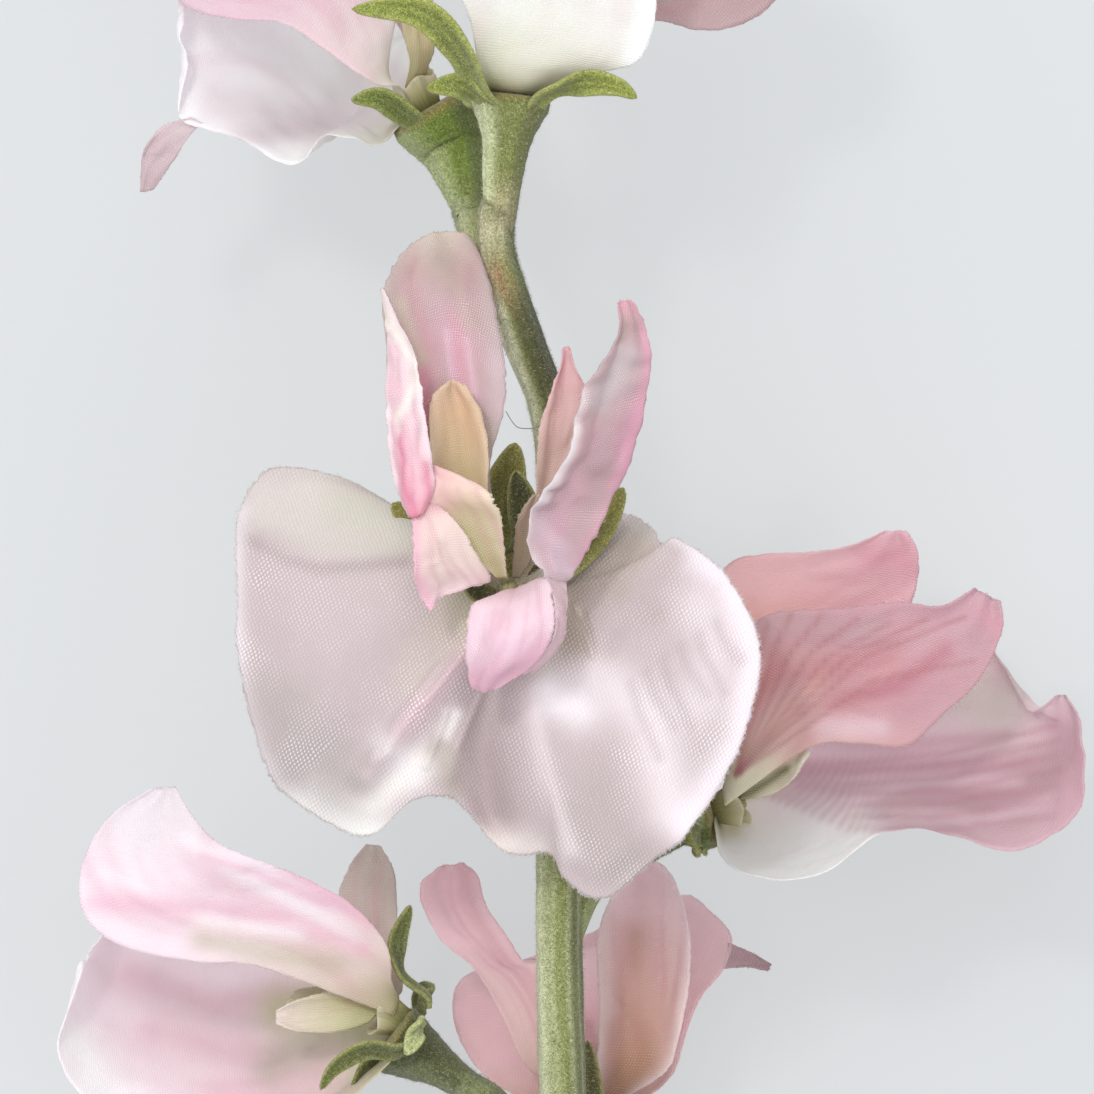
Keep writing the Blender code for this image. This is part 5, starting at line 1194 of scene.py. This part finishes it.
# %% [markdown]
# ## Dressing a lobe
# A lobe's grid is made first, then its tint and its map, and the marks last, so that colour and weave
# stay on the cloth while it is pressed. Random numbers with a fixed start move the cut edge a little
# in and out. They come out the same on every run.

# %% Grid, tint, map and marks of a lobe
# Rows along a petal and columns across it.
FINE = {"standard": (66, 52), "wings": (66, 30), "keel": (34, 20)}
OPEN_GRID = (84, 460)
# How far the cut edge wanders, in mm: in the centre bloom, and in the others.
RAGGED = {True: 0.08, False: 0.04}
# Colour and strength of the lines of dye.
STREAKS = {"standard": ("deb4c0", 0.15), "wings": (DEEP_ROSE, 0.28), "keel": ("ba9e70", 0.3)}
# Crushed cloth: the size and the depth of its creases, in mm.
CRUSHED = {("centre", "right ribbon"): (3.4, 0.55), ("centre", "left fold"): (3.0, 0.3),
           ("centre", "right band"): (1.8, 0.2), ("centre", "left tail"): (4.0, 0.06)}
# Painted sheen of the open petal: how strongly its weave shows painted highlights, high on its lit slopes
# and margins, low in the valley.
PAINTED_SHEEN_BASE = 0.4     # shine of the open petal where no stroke says otherwise
# The strokes of painted sheen: line, width, painted sheen and strength.
PAINTED_SHEEN_STROKES = [([(7, -12), (12, -15)], 6.0, 1.0, 1.0), ([(20, -4), (22, -14)], 5.0, 1.0, 0.9),
         ([(-6, -8), (-10, -13)], 3.6, 1.0, 0.9), ([(-22, -19), (-14, -23)], 4.5, 1.0, 0.8),
         ([(-27, 4), (-28, -10)], 2.4, 1.0, 0.8), ([(6, -24), (14, -27)], 5.0, 0.8, 0.7),
         ([(-4, -13), (-3, -19), (0, -24)], 2.6, 0.1, 0.95), ([(-24, 9), (-14, 7)], 4.0, 0.15, 0.8)]


def lobe_grid(bloom, shape, layer):
    """A fan for a shape with a margin, a blade for one with edges, and a patch for rows of points."""
    hub, axis = bloom["hub"], bloom["axis"]
    root = hub + axis * LAYERS[layer]
    if "margin" in shape:
        return fan(hub + np.array(shape["margin"], float), root, axis, shape["arc"], shape["spread"],
                   *OPEN_GRID)
    if "edges" in shape:
        edges = [hub + np.array(edge, float) for edge in shape["edges"]]
        return blade(edges, root, axis, shape["arc"], SHOULDERS[layer], shape["bow"], *FINE[layer])
    return patch(hub + np.array(shape, float), *FINE[layer])


def relief(name, lobe, grid, hub, layer, seed):
    """Height of the marks along the normals; it fades at the root and where the petal is narrow."""
    v = np.linspace(0, 1, grid.shape[0])[:, None]
    if (name, lobe) == ("centre", "petal"):
        return open_standard_marks((grid - hub)[..., :2], v) * smooth(v, 0, 0.08)
    size, depth = CRUSHED.get((name, lobe), (4.5, 0.16 if layer != "keel" else 0.05))
    total = crumple(grid, size, depth, seed) + creases(grid, 9, 0.16, 0.5, seed)
    total = total + ruffle(grid, 1.6, 0.22, seed)
    width = np.linalg.norm(grid[:, -1] - grid[:, 0], axis=1)[:, None]
    return total * smooth(v, 0, 0.1) * smooth(width, 0.4, 4)


def dress(name, bloom, lobe, shape, layer, seed):
    """Grid of a lobe with its marks, its map and its tint."""
    grid = lobe_grid(bloom, shape, layer)
    hub = bloom["hub"]
    open_petal = (name, lobe) == ("centre", "petal")
    key = (name, lobe)
    sides = LOBE_SIDES.get(key) if key in LOBE_DYES else PLAIN_SIDES[layer]
    tint = wash(grid, LOBE_DYES.get(key, PLAIN_DYES[layer]), sides)
    if not open_petal:
        line_colour, strength = STREAKS[layer]
        tint = toward(tint, dye(line_colour), strength * streaks(grid, 12, seed))
    plan = (grid - hub)[..., :2]
    tint = brushed(tint, plan, STROKES.get(key, []))
    uv = turned(plan, 14) if open_petal else cloth_map(grid, 32 + 9 * (seed % 4))
    sign = np.sign(normals(grid)[..., 2].mean()) or 1
    way = bloom["axis"] if open_petal else sign * normals(grid)
    grid = grid + way * relief(name, lobe, grid, hub, layer, seed)[..., None]
    jitter = RAGGED[name == "centre"] * chance.standard_normal(grid.shape[:2])
    inward = np.zeros(grid.shape[:2])
    inward[-1] = jitter[-1]
    inward[:, 0] = jitter[:, 0]
    inward[:, -1] = jitter[:, -1]
    return grid + unit(grid - grid.mean((0, 1))) * inward[..., None], uv, tint


print("rows and columns of the open petal:", OPEN_GRID, "and strokes of shine on it:", len(PAINTED_SHEEN_STROKES))

# %% [markdown]
# ## Cut edges and gathered bases
# Sheer cloth frays where it is cut. Short, nearly white threads stand out of the open petal's margin,
# and fewer and shorter ones, nearer the cloth's own colour, out of the other edges. The narrow bases
# of the petals are glued round a small disc, and a rolled strip of gathered cloth hides them.

# %% Frayed threads, discs and gathers
THREAD_RADIUS = 0.034   # in mm


def rim_of(grid, tint):
    """The free edge of a sheet: its points, the direction out of the cloth, and its colours."""
    edge = np.concatenate([grid[6:, 0], grid[-1, 1:-1], grid[6:, -1][::-1]])
    inner = np.concatenate([grid[6:, 2], grid[-3, 1:-1], grid[6:, -3][::-1]])
    return edge, unit(edge - inner), np.concatenate([tint[6:, 0], tint[-1, 1:-1], tint[6:, -1][::-1]])


def frayed(edge, out, tint, per_mm, longest, whiteness):
    """Cut threads along an edge: places drawn evenly by length, lengths drawn with short ones likelier.
    The last argument is the share of white mixed into their tint."""
    run = lengths(edge)
    count = int(run[-1] * per_mm)
    at = np.sort(chance.uniform(0, run[-1], count))
    pick = lambda values: np.stack([np.interp(at, run, values[:, k]) for k in range(3)], 1)
    along = unit(np.gradient(edge, axis=0))
    slant = 0.9 * chance.standard_normal((count, 1)) * pick(along)
    way = pick(out) + slant + 0.35 * chance.standard_normal((count, 3))
    size = longest * chance.uniform(0.3, 1, count) ** 1.6
    light = pick(tint) * (1 - whiteness) + whiteness * dye("fcf9f7")
    return fibres(pick(edge), way, size, THREAD_RADIUS, light)


CLOTHS = {"standard": standard_cloth, "wings": wing_cloth, "keel": keel_cloth}
# Threads per mm, longest in mm, share of white.
FRAYS = {"open": (14, 0.6, 0.85), "other": (4, 0.3, 0.2)}


def round_swell(along, angle):
    """A bar that is round all along."""
    return 1


def plain_tint(colour):
    """The same colour at each point of a bar."""
    return lambda along, angle, ring: np.broadcast_to(colour, ring.shape).copy()


def middle_disc(bloom, layer):
    """The uncut middle of the cloth, threaded on the wire and glued down to a smooth cone."""
    low, high, wide, narrow = {"standard": (0.3, 1.8, 1.3, 1.0), "wings": (1.8, 3.3, 1.0, 0.75),
                               "keel": (3.3, 4.0, 0.75, 0.4)}[layer]
    line = bloom["hub"] + bloom["axis"] * np.linspace(low, high, 6)[:, None]
    return bar(line, np.linspace(wide, narrow, 6), 24, round_swell, plain_tint(dye("b0a86a")))


def gathered_bases(bloom):
    """Cloth rolled once round the cone where the petals' narrow bases are gathered: the radius runs
    from 1.25 to 2.35 mm, with seven gathers, 0.22 sin(7 angle), that deepen towards the open edge."""
    first, second = around(bloom["axis"])
    v = np.linspace(0, 1, 15)[:, None, None]
    angle = np.linspace(0, 2.1 * np.pi, 91)[None, :, None]
    radius = 1.25 + 1.1 * v + 0.22 * v * np.sin(7 * angle) + 0.02 * angle
    height = 0.3 + 3.3 * v + 0.4 * v * np.sin(3 * angle + 1)
    way = first * np.cos(angle) + second * np.sin(angle)
    grid = bloom["hub"] + bloom["axis"] * height + radius * way
    return thin_sheet(grid, cloth_map(grid, 20), wash(grid, THROAT))


THROAT = [(0, "605c28"), (0.3, "969254"), (0.7, "cec898"), (1, "e2dabe")]   # of the gathered bases
print("cut threads per mm of the open petal's margin:", FRAYS["open"][0])

# %% [markdown]
# ## Eighteen layers of cloth
# The loop below makes each layer of each bloom. The blooms behind get a denser cloth, whose weave
# hardly shows. Threads are a piece of their own, because they need a material that lets more light
# through.

# %% Make every layer of every bloom
seed = 0
for name, bloom in BLOOMS.items():
    for layer in LAYERS:
        near = name == "centre"
        sheets, threads = [middle_disc(bloom, layer)], []
        for lobe, shape in bloom[layer].items():
            seed += 1
            grid, uv, tint = dress(name, bloom, lobe, shape, layer, seed)
            sheets.append(thin_sheet(grid, uv, tint))
            # The open petal's painted sheen map, laid by the strokes of painted sheen.
            if near and layer == "standard":
                plan = (grid - bloom["hub"])[..., :2]
                shine = brushed(np.full((*plan.shape[:2], 1), PAINTED_SHEEN_BASE), plan, PAINTED_SHEEN_STROKES)
                sheets[-1]["shine"] = np.tile(shine.ravel(), 2)
            fray = FRAYS["open" if lobe == "petal" and near else "other"]
            threads.append(frayed(*rim_of(grid, tint), *fray))
        if layer == "wings" and not near:
            sheets.append(gathered_bases(bloom))
        cloth = CLOTHS[layer] if near or layer == "keel" else back_cloth
        piece(f"{layer}_{name}_cloth", sheets, cloth, f"{layer}_{name}")
        piece(f"{layer}_{name}_frayed", threads, cut_thread)

# %% [markdown]
# ## Calyces and sepals
# A calyx is a small moulded cone with five pointed sepals round its mouth. Its flock is darker than
# the stem's. The cone's radius is a spline through five radii, and its foot starts inside the stalk
# and in the stalk's own direction, so that no step shows where the two meet. Each sepal is a leaf: a
# curve for its midrib and a width that swells and closes, with a groove pressed along the midrib.
# Hairs stand on all of it.

# %% Calyces
SEPAL_THICK = 0.5
WIDER = 1.12      # the blunt leaf is this much wider than the solid's pointed one
PLAIN_FUNNEL = [1.4, 2.3, 2.9, 3.8, 2.4]
CONE_GREEN, STALK_GREEN = "62702c", "98a068"
# For each bloom: the cone's radii from its foot to its mouth, the depth of the leaves' roots below
# the mouth, how far the leaves turn level (0 to 1), the colours of cone, foot and leaves, and how
# much painted light lies on the cone's left side.
CALYX = {
    "centre": (PLAIN_FUNNEL, 3.4, 0, CONE_GREEN, STALK_GREEN, "8a843a", 0.75),
    "right": (PLAIN_FUNNEL, 3.4, 0, CONE_GREEN, STALK_GREEN, "808234", 0.75),
    "low_left": ([1.3, 2.0, 2.9, 3.7, 2.4], 1.2, 0.7, "424622", "5c623e", "5e6422", 0.15),
    "low_back": (PLAIN_FUNNEL, 3.4, 0.3, "584a2a", STALK_GREEN, "60542c", 0.15),
    "top_left": ([1.3, 2.45, 3.5, 4.5, 2.6], 1.8, 0.8, "6e8420", "768242", "76862e", 0.4),
    "top": ([1.5, 2.1, 2.6, 4.1, 2.5], 1.8, 1, "7c8242", "c0b48c", "929e3e", 1)}
LEAF_DARK, LEAF_EDGE = dye("2e2e06"), dye("bebc70")
# CONE_LIGHT is painted light on a cone's left side and the pale of its hairs; CONE_SHADE is painted shade
# on its right side.
CONE_LIGHT, CONE_SHADE, MOUTH_BROWN = dye("d6dcac"), dye("4c5022"), dye("867836")
ODD_LEAVES = {("centre", 1): LEAF_DARK, ("low_left", 1): dye("ced696")}
INNER_SEPAL = [(-1.6, -0.8, 1.2), (-3.2, -0.4, 1.6), (-4.8, 0.4, 2.2)]   # a small one in the open bloom


def sepal_surface(spine, width, around_way, level_share, base):
    """Grid line(s) + side * half(s) * u. The leaf's side lies along the calyx's mouth at its root, and
    turns level by level_share towards the tip; it is cupped by u^2 and grooved by exp(-(u / 0.16)^2).
    Its tint gets painted shade in the hollow on each side of the midrib, and the edge colour at its
    edges."""
    along, across = 40, 14
    line = even(spine, along)
    s = np.linspace(0, 1, along + 1)[:, None]
    twist = level_share * smooth(s, 0.3, 0.75)
    t = unit(np.gradient(line, axis=0))
    level = np.cross(t, vec(0, 0, 1))
    level = level * np.sign((level @ around_way).mean() or 1)
    way = around_way * (1 - twist) + unit(level) * twist
    side = unit(way - (way * t).sum(-1, keepdims=True) * t)
    half = 0.5 * width * (0.62 + 0.38 * np.sin(np.pi * s ** 0.9)) * np.sqrt(np.maximum(1 - s ** 6, 0.002))
    u = np.linspace(-1, 1, across + 1)[None, :, None]
    grid = line[:, None] + side[:, None] * half[:, None] * u
    up = normals(grid)
    if up[..., 2].mean() < 0:
        up = -up
    rise = 0.22 * half[:, None] * u ** 2 - 0.2 * np.exp(-(u / 0.16) ** 2) * (1 - s[..., None])
    grid = grid + up * rise
    edge = np.abs(u[..., 0]) ** 5 * np.ones((along + 1, 1))
    # Painted shade in the hollow on each side of the midrib.
    painted_hollow_shade = 0.55 * np.exp(-((np.abs(u[..., 0]) - 0.35) / 0.3) ** 2) * np.sin(np.pi * s)
    tint = toward(toward(base, LEAF_DARK, painted_hollow_shade), LEAF_EDGE, 0.5 * edge)
    return grid, toward(tint, dye("969c5c"), 0.35 * (1 - smooth(s, 0.1, 0.5))), up


def cone_line(name):
    """Middle line of a calyx: from inside its stalk, by the foot and a knee below the mouth, into the
    mouth along the bloom's axis; and the direction from the foot to the knee."""
    bloom = BLOOMS[name]
    foot, hub = bloom["stalk"], bloom["hub"] + bloom.get("sunk", 0)
    axis = bloom.get("turned", bloom["axis"])
    before = vec(*(STALKS[name] if name in STALKS else STEM_PATH[:-1])[-1])
    knee = hub - axis * 0.35 * np.linalg.norm(hub - foot)
    inside = foot + 2.2 * unit(before - foot)
    line = [inside, 0.5 * (foot + knee), knee, hub - axis * 0.2, hub + axis * 0.5]
    return line, unit(knee - foot)


def sideways(ring):
    """How far each point of a bar lies to the right of its middle line, in mm."""
    return ring[..., 0] - ring[..., 0].mean(1, keepdims=True)


def cone_tint(green, foot, light):
    """The stalk's green at the foot, the calyx's own above, painted light on the left side and painted
    shade on the right, and brown in the mouth."""
    def tint(along, angle, ring):
        side = sideways(ring)
        side = side / np.abs(side).max(1, keepdims=True)
        colour = toward(foot, green, smooth(along, 0.12, 0.5))
        # Painted light on the left side and painted shade on the right.
        colour = toward(colour, CONE_LIGHT, light * smooth(-side, 0.15, 0.8))
        colour = toward(colour, CONE_SHADE, 0.6 * smooth(side, 0.2, 0.9))
        return toward(colour, MOUTH_BROWN, smooth(along, 0.93, 0.97))
    return tint


def scatter(skin, count, size, radius, pale, lean, first=0):
    """Hairs at random places of a bar's surface from the first ring on, leaning by a random part of
    lean, coloured two thirds as the skin at its root and one third pale."""
    ring, out = skin["ring"][first:], skin["out"][first:]
    n, m = ring.shape[:2]
    dyed = skin["tint"][:-2].reshape(-1, m, 3)[first:]
    i, j = chance.integers(0, n - 1, count), chance.integers(0, m, count)
    f, g = chance.random((count, 1)), chance.random((count, 1))
    k = (j + 1) % m
    at = ((1 - f) * (1 - g) * ring[i, j] + f * (1 - g) * ring[i + 1, j]
          + (1 - f) * g * ring[i, k] + f * g * ring[i + 1, k])
    way = unit(out[i, j] + out[i, k]) + lean * chance.standard_normal((count, 3))
    shade = chance.uniform(0.55, 1.35, (count, 1))
    tint = np.clip((0.68 * dyed[i, j] + 0.32 * pale) * shade, 0, 1)
    return fibres(at, way, size * chance.uniform(0.5, 1, count), radius, tint)


def leaf_hairs(grid, up, count, size, tint):
    """Hairs on both faces of a sepal and round its edge."""
    n, m = grid.shape[:2]
    i, j = chance.integers(2, n - 1, count), chance.integers(0, m, count)
    side = np.where(chance.random((count, 1)) < 0.5, -1.0, 1.0)
    at = grid[i, j] + up[i, j] * side * 0.5 * SEPAL_THICK
    rim = unit(grid[3:, -1] - grid[3:, -3]), unit(grid[3:, 0] - grid[3:, 2])
    edge = np.repeat(np.concatenate([grid[3:, -1], grid[3:, 0]]), 4, axis=0)
    edge_way = np.repeat(np.concatenate(rim), 4, axis=0)
    roots = np.concatenate([at, edge])
    ways = np.concatenate([up[i, j] * side, edge_way])
    ways = ways + 0.6 * chance.standard_normal((len(roots), 3))
    tint = np.clip(tint * chance.uniform(0.6, 1.3, (len(roots), 1)), 0, 1)
    return fibres(roots, ways, size * chance.uniform(0.4, 1, len(roots)), 0.014, tint)


print("the cones' radii in mm:", {name: max(facts[0]) for name, facts in CALYX.items()})

# %% [markdown]
# ## Six calyces
# The leaves' roots lie inside the cone, and the leaves come out of its mouth. Each calyx has its own
# greens and its own amount of painted light on the cone's left side; every cone has painted shade on
# its right side.


# %% Make every calyx
def ribbed(along, angle):
    """Ten faint ribs round a cone, and slow unevenness."""
    return 1 + 0.035 * np.cos(10 * angle) + 0.012 * np.sin(4 * along + 3 * angle)


for name, bloom in BLOOMS.items():
    hub, axis = bloom["hub"], bloom["axis"]
    funnel, depth, level_share, cone_green, foot_green, leaf, light = CALYX[name]
    path = spline(cone_line(name)[0], 56)
    radius = spline(np.array(funnel)[:, None], 56)[:, 0]
    cone = bar(path, radius, 54, ribbed, cone_tint(dye(cone_green), dye(foot_green), light))
    parts = [cone]
    hairs = [scatter(cone, 2400, 0.48, 0.02, CONE_LIGHT, 0.5)]
    for k, (spine, width) in enumerate(bloom["sepals"]):
        points = np.array(spine, float)
        out = unit(points[0] - (points[0] @ axis) * axis)
        root = [2.5 * out - depth * axis, 3.5 * out - 0.4 * depth * axis]
        spine = hub + np.concatenate([root, points])
        grid, tint, up = sepal_surface(spine, WIDER * width, np.cross(axis, out), level_share,
                                       ODD_LEAVES.get((name, k), dye(leaf)))
        parts.append(thin_sheet(grid, cloth_map(grid, 0), tint, SEPAL_THICK))
        hairs.append(leaf_hairs(grid, up, 260, 0.3, 0.5 * (LEAF_EDGE + dye(leaf))))
    if name == "centre":
        grid, tint, up = sepal_surface(hub + np.array(INNER_SEPAL), 2.2, vec(0, 1, 0), 0, LEAF_DARK)
        parts.append(thin_sheet(grid, cloth_map(grid, 0), tint, SEPAL_THICK))
    piece(f"calyx_{name}_flocked", parts, calyx_flock, f"calyx_{name}")
    piece(f"calyx_{name}_hairs", hairs, hair)

# %% [markdown]
# ## The stem
# The stem is plastic moulded over wire, with ridges along it where the stalks were bound on. A bar
# carried along the stem's path makes it. The radius swells with the angle to give the ridges. The
# flock is grey-green, with painted light on the left side and olive painted shade on the right, both
# stronger where the stem bends, and a few brown, worn places.

# %% Stem
# The olive is painted shade on the stem's right side; the pale green is painted light on the left side of
# stem and stalks, and also the colour of pale streaks.
PAINTED_SHADE_OLIVE, GREY_GREEN, PALE_AND_PAINTED_LIGHT_GREEN = dye("585c26"), dye("909658"), dye("daddb4")
# The deep olive and the bright green are painted shade on the right and painted light on the left where
# the stem bends; the brown is worn flock.
BROWN, PAINTED_BEND_SHADE, PAINTED_BEND_LIGHT = dye("ac7a5c"), dye("262608"), dye("f0f2d2")
BONE = dye("ded4b4")    # worn flock where the wire bends


def stem_swell(along, angle):
    """Five ridges, a few small ones, and slow unevenness along the stem."""
    ridges = 0.05 * np.cos(5 * angle) + 0.02 * np.cos(13 * angle + 0.1 * along)
    return 1 + ridges + 0.012 * np.sin(0.9 * along + 2 * angle)


def stem_tint(along, angle, ring):
    """Painted light on the left side and olive painted shade on the right, in long streaks; bone, then
    brown worn places, then deeper painted shade on the right and brighter painted light on the left,
    where the stem bends below the top bloom; and fine pale streaks."""
    side = sideways(ring)
    side = side / np.abs(side).max()
    y = ring[..., 1]
    streak = 0.5 + 0.5 * np.sin(3 * angle + 9 * along + 2 * np.sin(23 * along))
    fine = 0.5 + 0.5 * np.sin(9 * angle + 0.8 * np.sin(0.25 * y))
    # Painted light on the left side, and olive painted shade on the right.
    tint = toward(GREY_GREEN + 0 * ring, PALE_AND_PAINTED_LIGHT_GREEN, smooth(-side, 0.0, 0.85) * (0.65 + 0.35 * streak))
    tint = toward(tint, PAINTED_SHADE_OLIVE, smooth(side, 0.0, 0.7) * (0.6 + 0.4 * streak))
    bend = smooth(y, 10, 17) * smooth(y, 29, 24)
    # Where the stem bends: painted shade on the right side and painted light on the left.
    tint = toward(tint, PAINTED_BEND_SHADE, 0.95 * bend * smooth(side, -0.4, 0.15) * (0.8 + 0.2 * fine))
    tint = toward(tint, PAINTED_BEND_LIGHT, 0.95 * bend * smooth(-side, 0.18, 0.5))
    worn = np.exp(-((y - 28.2) / 2.8) ** 2) * smooth(side, 0.5, -0.1) * (0.55 + 0.45 * fine)
    bare = np.exp(-((y - 33.4) / 2.6) ** 2) * smooth(side, 0.7, 0.1) * (0.6 + 0.4 * fine)
    tint = toward(toward(tint, BROWN, 0.9 * worn), BONE, 0.85 * bare)
    return toward(tint, PALE_AND_PAINTED_LIGHT_GREEN, 0.35 * fine ** 3 * (1 - smooth(y, -30, -20)))


def stalk_tint(own):
    """Painted light in pale green on the left side, brighter where the stem bends, less so on a dark
    stalk and near the calyx; the stalk's own green elsewhere; and a quarter of the stem's tint, with its
    streaks and its painted light and shade."""
    def tint(along, angle, ring):
        side = sideways(ring)
        # Painted light on the stalk's left side.
        pale = smooth(-side / np.abs(side).max(), -0.3, 0.6) * (1 if own[1] > 0.2 else 0.3)
        pale = pale * (1 - 0.7 * smooth(along, 0.6, 0.95))
        high = smooth(ring[..., 1], 6, 14) * smooth(ring[..., 1], 32, 26)
        light = toward(PALE_AND_PAINTED_LIGHT_GREEN, PAINTED_BEND_LIGHT, high)
        own_tint = toward(own, light, (0.7 + 0.25 * high) * pale)
        return 0.25 * stem_tint(along, angle, ring) + 0.75 * own_tint
    return tint


print("the stem's radii in mm:", STEM_RADII)

# %% [markdown]
# ## Bars for the stem and its stalks
# The main bar runs on into the top calyx. Each stalk starts inside the stem and ends inside its
# calyx, so that no gap shows. One loose thread lies on the open bloom's wing.

# %% Make the stem
TOP_REACH = 2.2   # the stem runs this far into the top calyx, in mm
foot, to_knee = BLOOMS["top"]["stalk"], cone_line("top")[1]
into_top = [foot + to_knee * 0.6, foot + to_knee * TOP_REACH]
main_path = spline(np.concatenate([STEM_PATH, into_top]), 320)
main_radius = spline(np.append(STEM_RADII, [1.7, 1.4])[:, None], 320)[:, 0]
main = bar(main_path, main_radius, 56, stem_swell, stem_tint)
parts = [main]
hairs = [scatter(main, 27000, 0.5, 0.02, dye("ced0a8"), 0.5)]
for name, start in STALKS.items():
    foot, to_knee = BLOOMS[name]["stalk"], cone_line(name)[1]
    line = spline(start + [foot + to_knee * reach for reach in (-3, -0.3, 1.5)], 64)
    thick = CALYX[name][0][1] - 0.45    # a little less than the cone above its foot
    stalk = bar(line, np.linspace(1.4, thick, 65), 36, stem_swell, stalk_tint(dye(CALYX[name][4])))
    parts.append(stalk)
    hairs.append(scatter(stalk, 1900, 0.46, 0.02, dye("c4ca98"), 0.5, 14))
piece("stem_flocked", parts, stem_flock, "stem")
piece("stem_hairs", hairs, hair)

LOOSE_THREAD = [(-0.4, 18.6, 6), (0.2, 17.6, 6.4), (0.9, 16.9, 6.6), (2.2, 16.8, 6.2), (3.4, 17, 5.6)]
line = BLOOMS["centre"]["hub"] + even(LOOSE_THREAD, 60)
thread = bar(line, np.full(61, 0.045), 8, round_swell, plain_tint(dye("787060")))
piece("loose_thread", [thread], cut_thread)

# %% [markdown]
# ## Stage
# The spray lies on a plain pale floor under soft light. The floor glows softly of itself: a floor
# that only reflects would need so much light that the petals' pale colours would wash out. The camera
# looks straight down from far away, through a long lens, so near and far blooms keep their true sizes.


# %% Floor, light and camera
FLOOR_REACH = 3.0               # half of the floor's width, in metres
FLOOR_PAINT = (0.190, 0.195, 0.198)
AIM = Vector((0, 0.025, 0.03))  # where the lights point, near the open bloom
FIELD = 0.1149                  # width of the view at the open bloom, in metres
BLOOM_UP = 0.046                # height of the open bloom over the floor
HIGH = 1.6                      # height of the camera above the open bloom
scene = bpy.context.scene


def plain_finish(name, colour, rough, glow):
    """An even colour that also shines softly of itself."""
    finish, tree, shader = new_finish(name)
    fill(tree, shader, {"Base Color": (*colour, 1), "Roughness": rough,
                        "Emission Color": (*colour, 1), "Emission Strength": glow})
    return finish


floor_mesh = bpy.data.meshes.new("floor")
corners = [(FLOOR_REACH * x, FLOOR_REACH * y, 0) for x, y in ((-1, -1), (1, -1), (1, 1), (-1, 1))]
floor_mesh.from_pydata(corners, [], [(0, 1, 2, 3)])
floor_mesh.materials.append(plain_finish("floor_paint", FLOOR_PAINT, 0.9, 2.5))
floor = bpy.data.objects.new("floor", floor_mesh)
scene.collection.objects.link(floor)


def soft_light(name, place, size, watts, colour):
    """Square area light, size metres wide, that looks at the open bloom."""
    lamp = bpy.data.lights.new(name, "AREA")
    lamp.size = size
    lamp.energy = watts
    lamp.color = colour
    obj = bpy.data.objects.new(name, lamp)
    obj.location = place
    obj.rotation_euler = (AIM - Vector(place)).to_track_quat("-Z", "Y").to_euler()
    scene.collection.objects.link(obj)


soft_light("window", (-0.40, 0.62, 1.1), 1.3, 9.4, (1.0, 0.995, 0.98))
soft_light("fill", (0.65, -0.35, 1.0), 1.2, 4.2, (0.98, 0.99, 1.0))
soft_light("lamp", (-0.28, 0.36, 0.9), 0.12, 2.2, (1.0, 0.99, 0.97))
world = bpy.data.worlds.new("studio")
scene.world = world
world.use_nodes = True
fill(world.node_tree, world.node_tree.nodes["Background"],
     {"Color": (0.94, 0.97, 1.0, 1), "Strength": 0.84})
scene.view_settings.view_transform = "Standard"

camera = bpy.data.cameras.new("camera")
camera.sensor_width = 36
camera.lens = camera.sensor_width * HIGH / FIELD
camera.clip_start = 0.05
viewer = bpy.data.objects.new("camera", camera)
viewer.location = (shift[0] * MM, shift[1] * MM, BLOOM_UP + HIGH)
scene.collection.objects.link(viewer)
scene.camera = viewer
print("lens in mm:", round(camera.lens, 1))
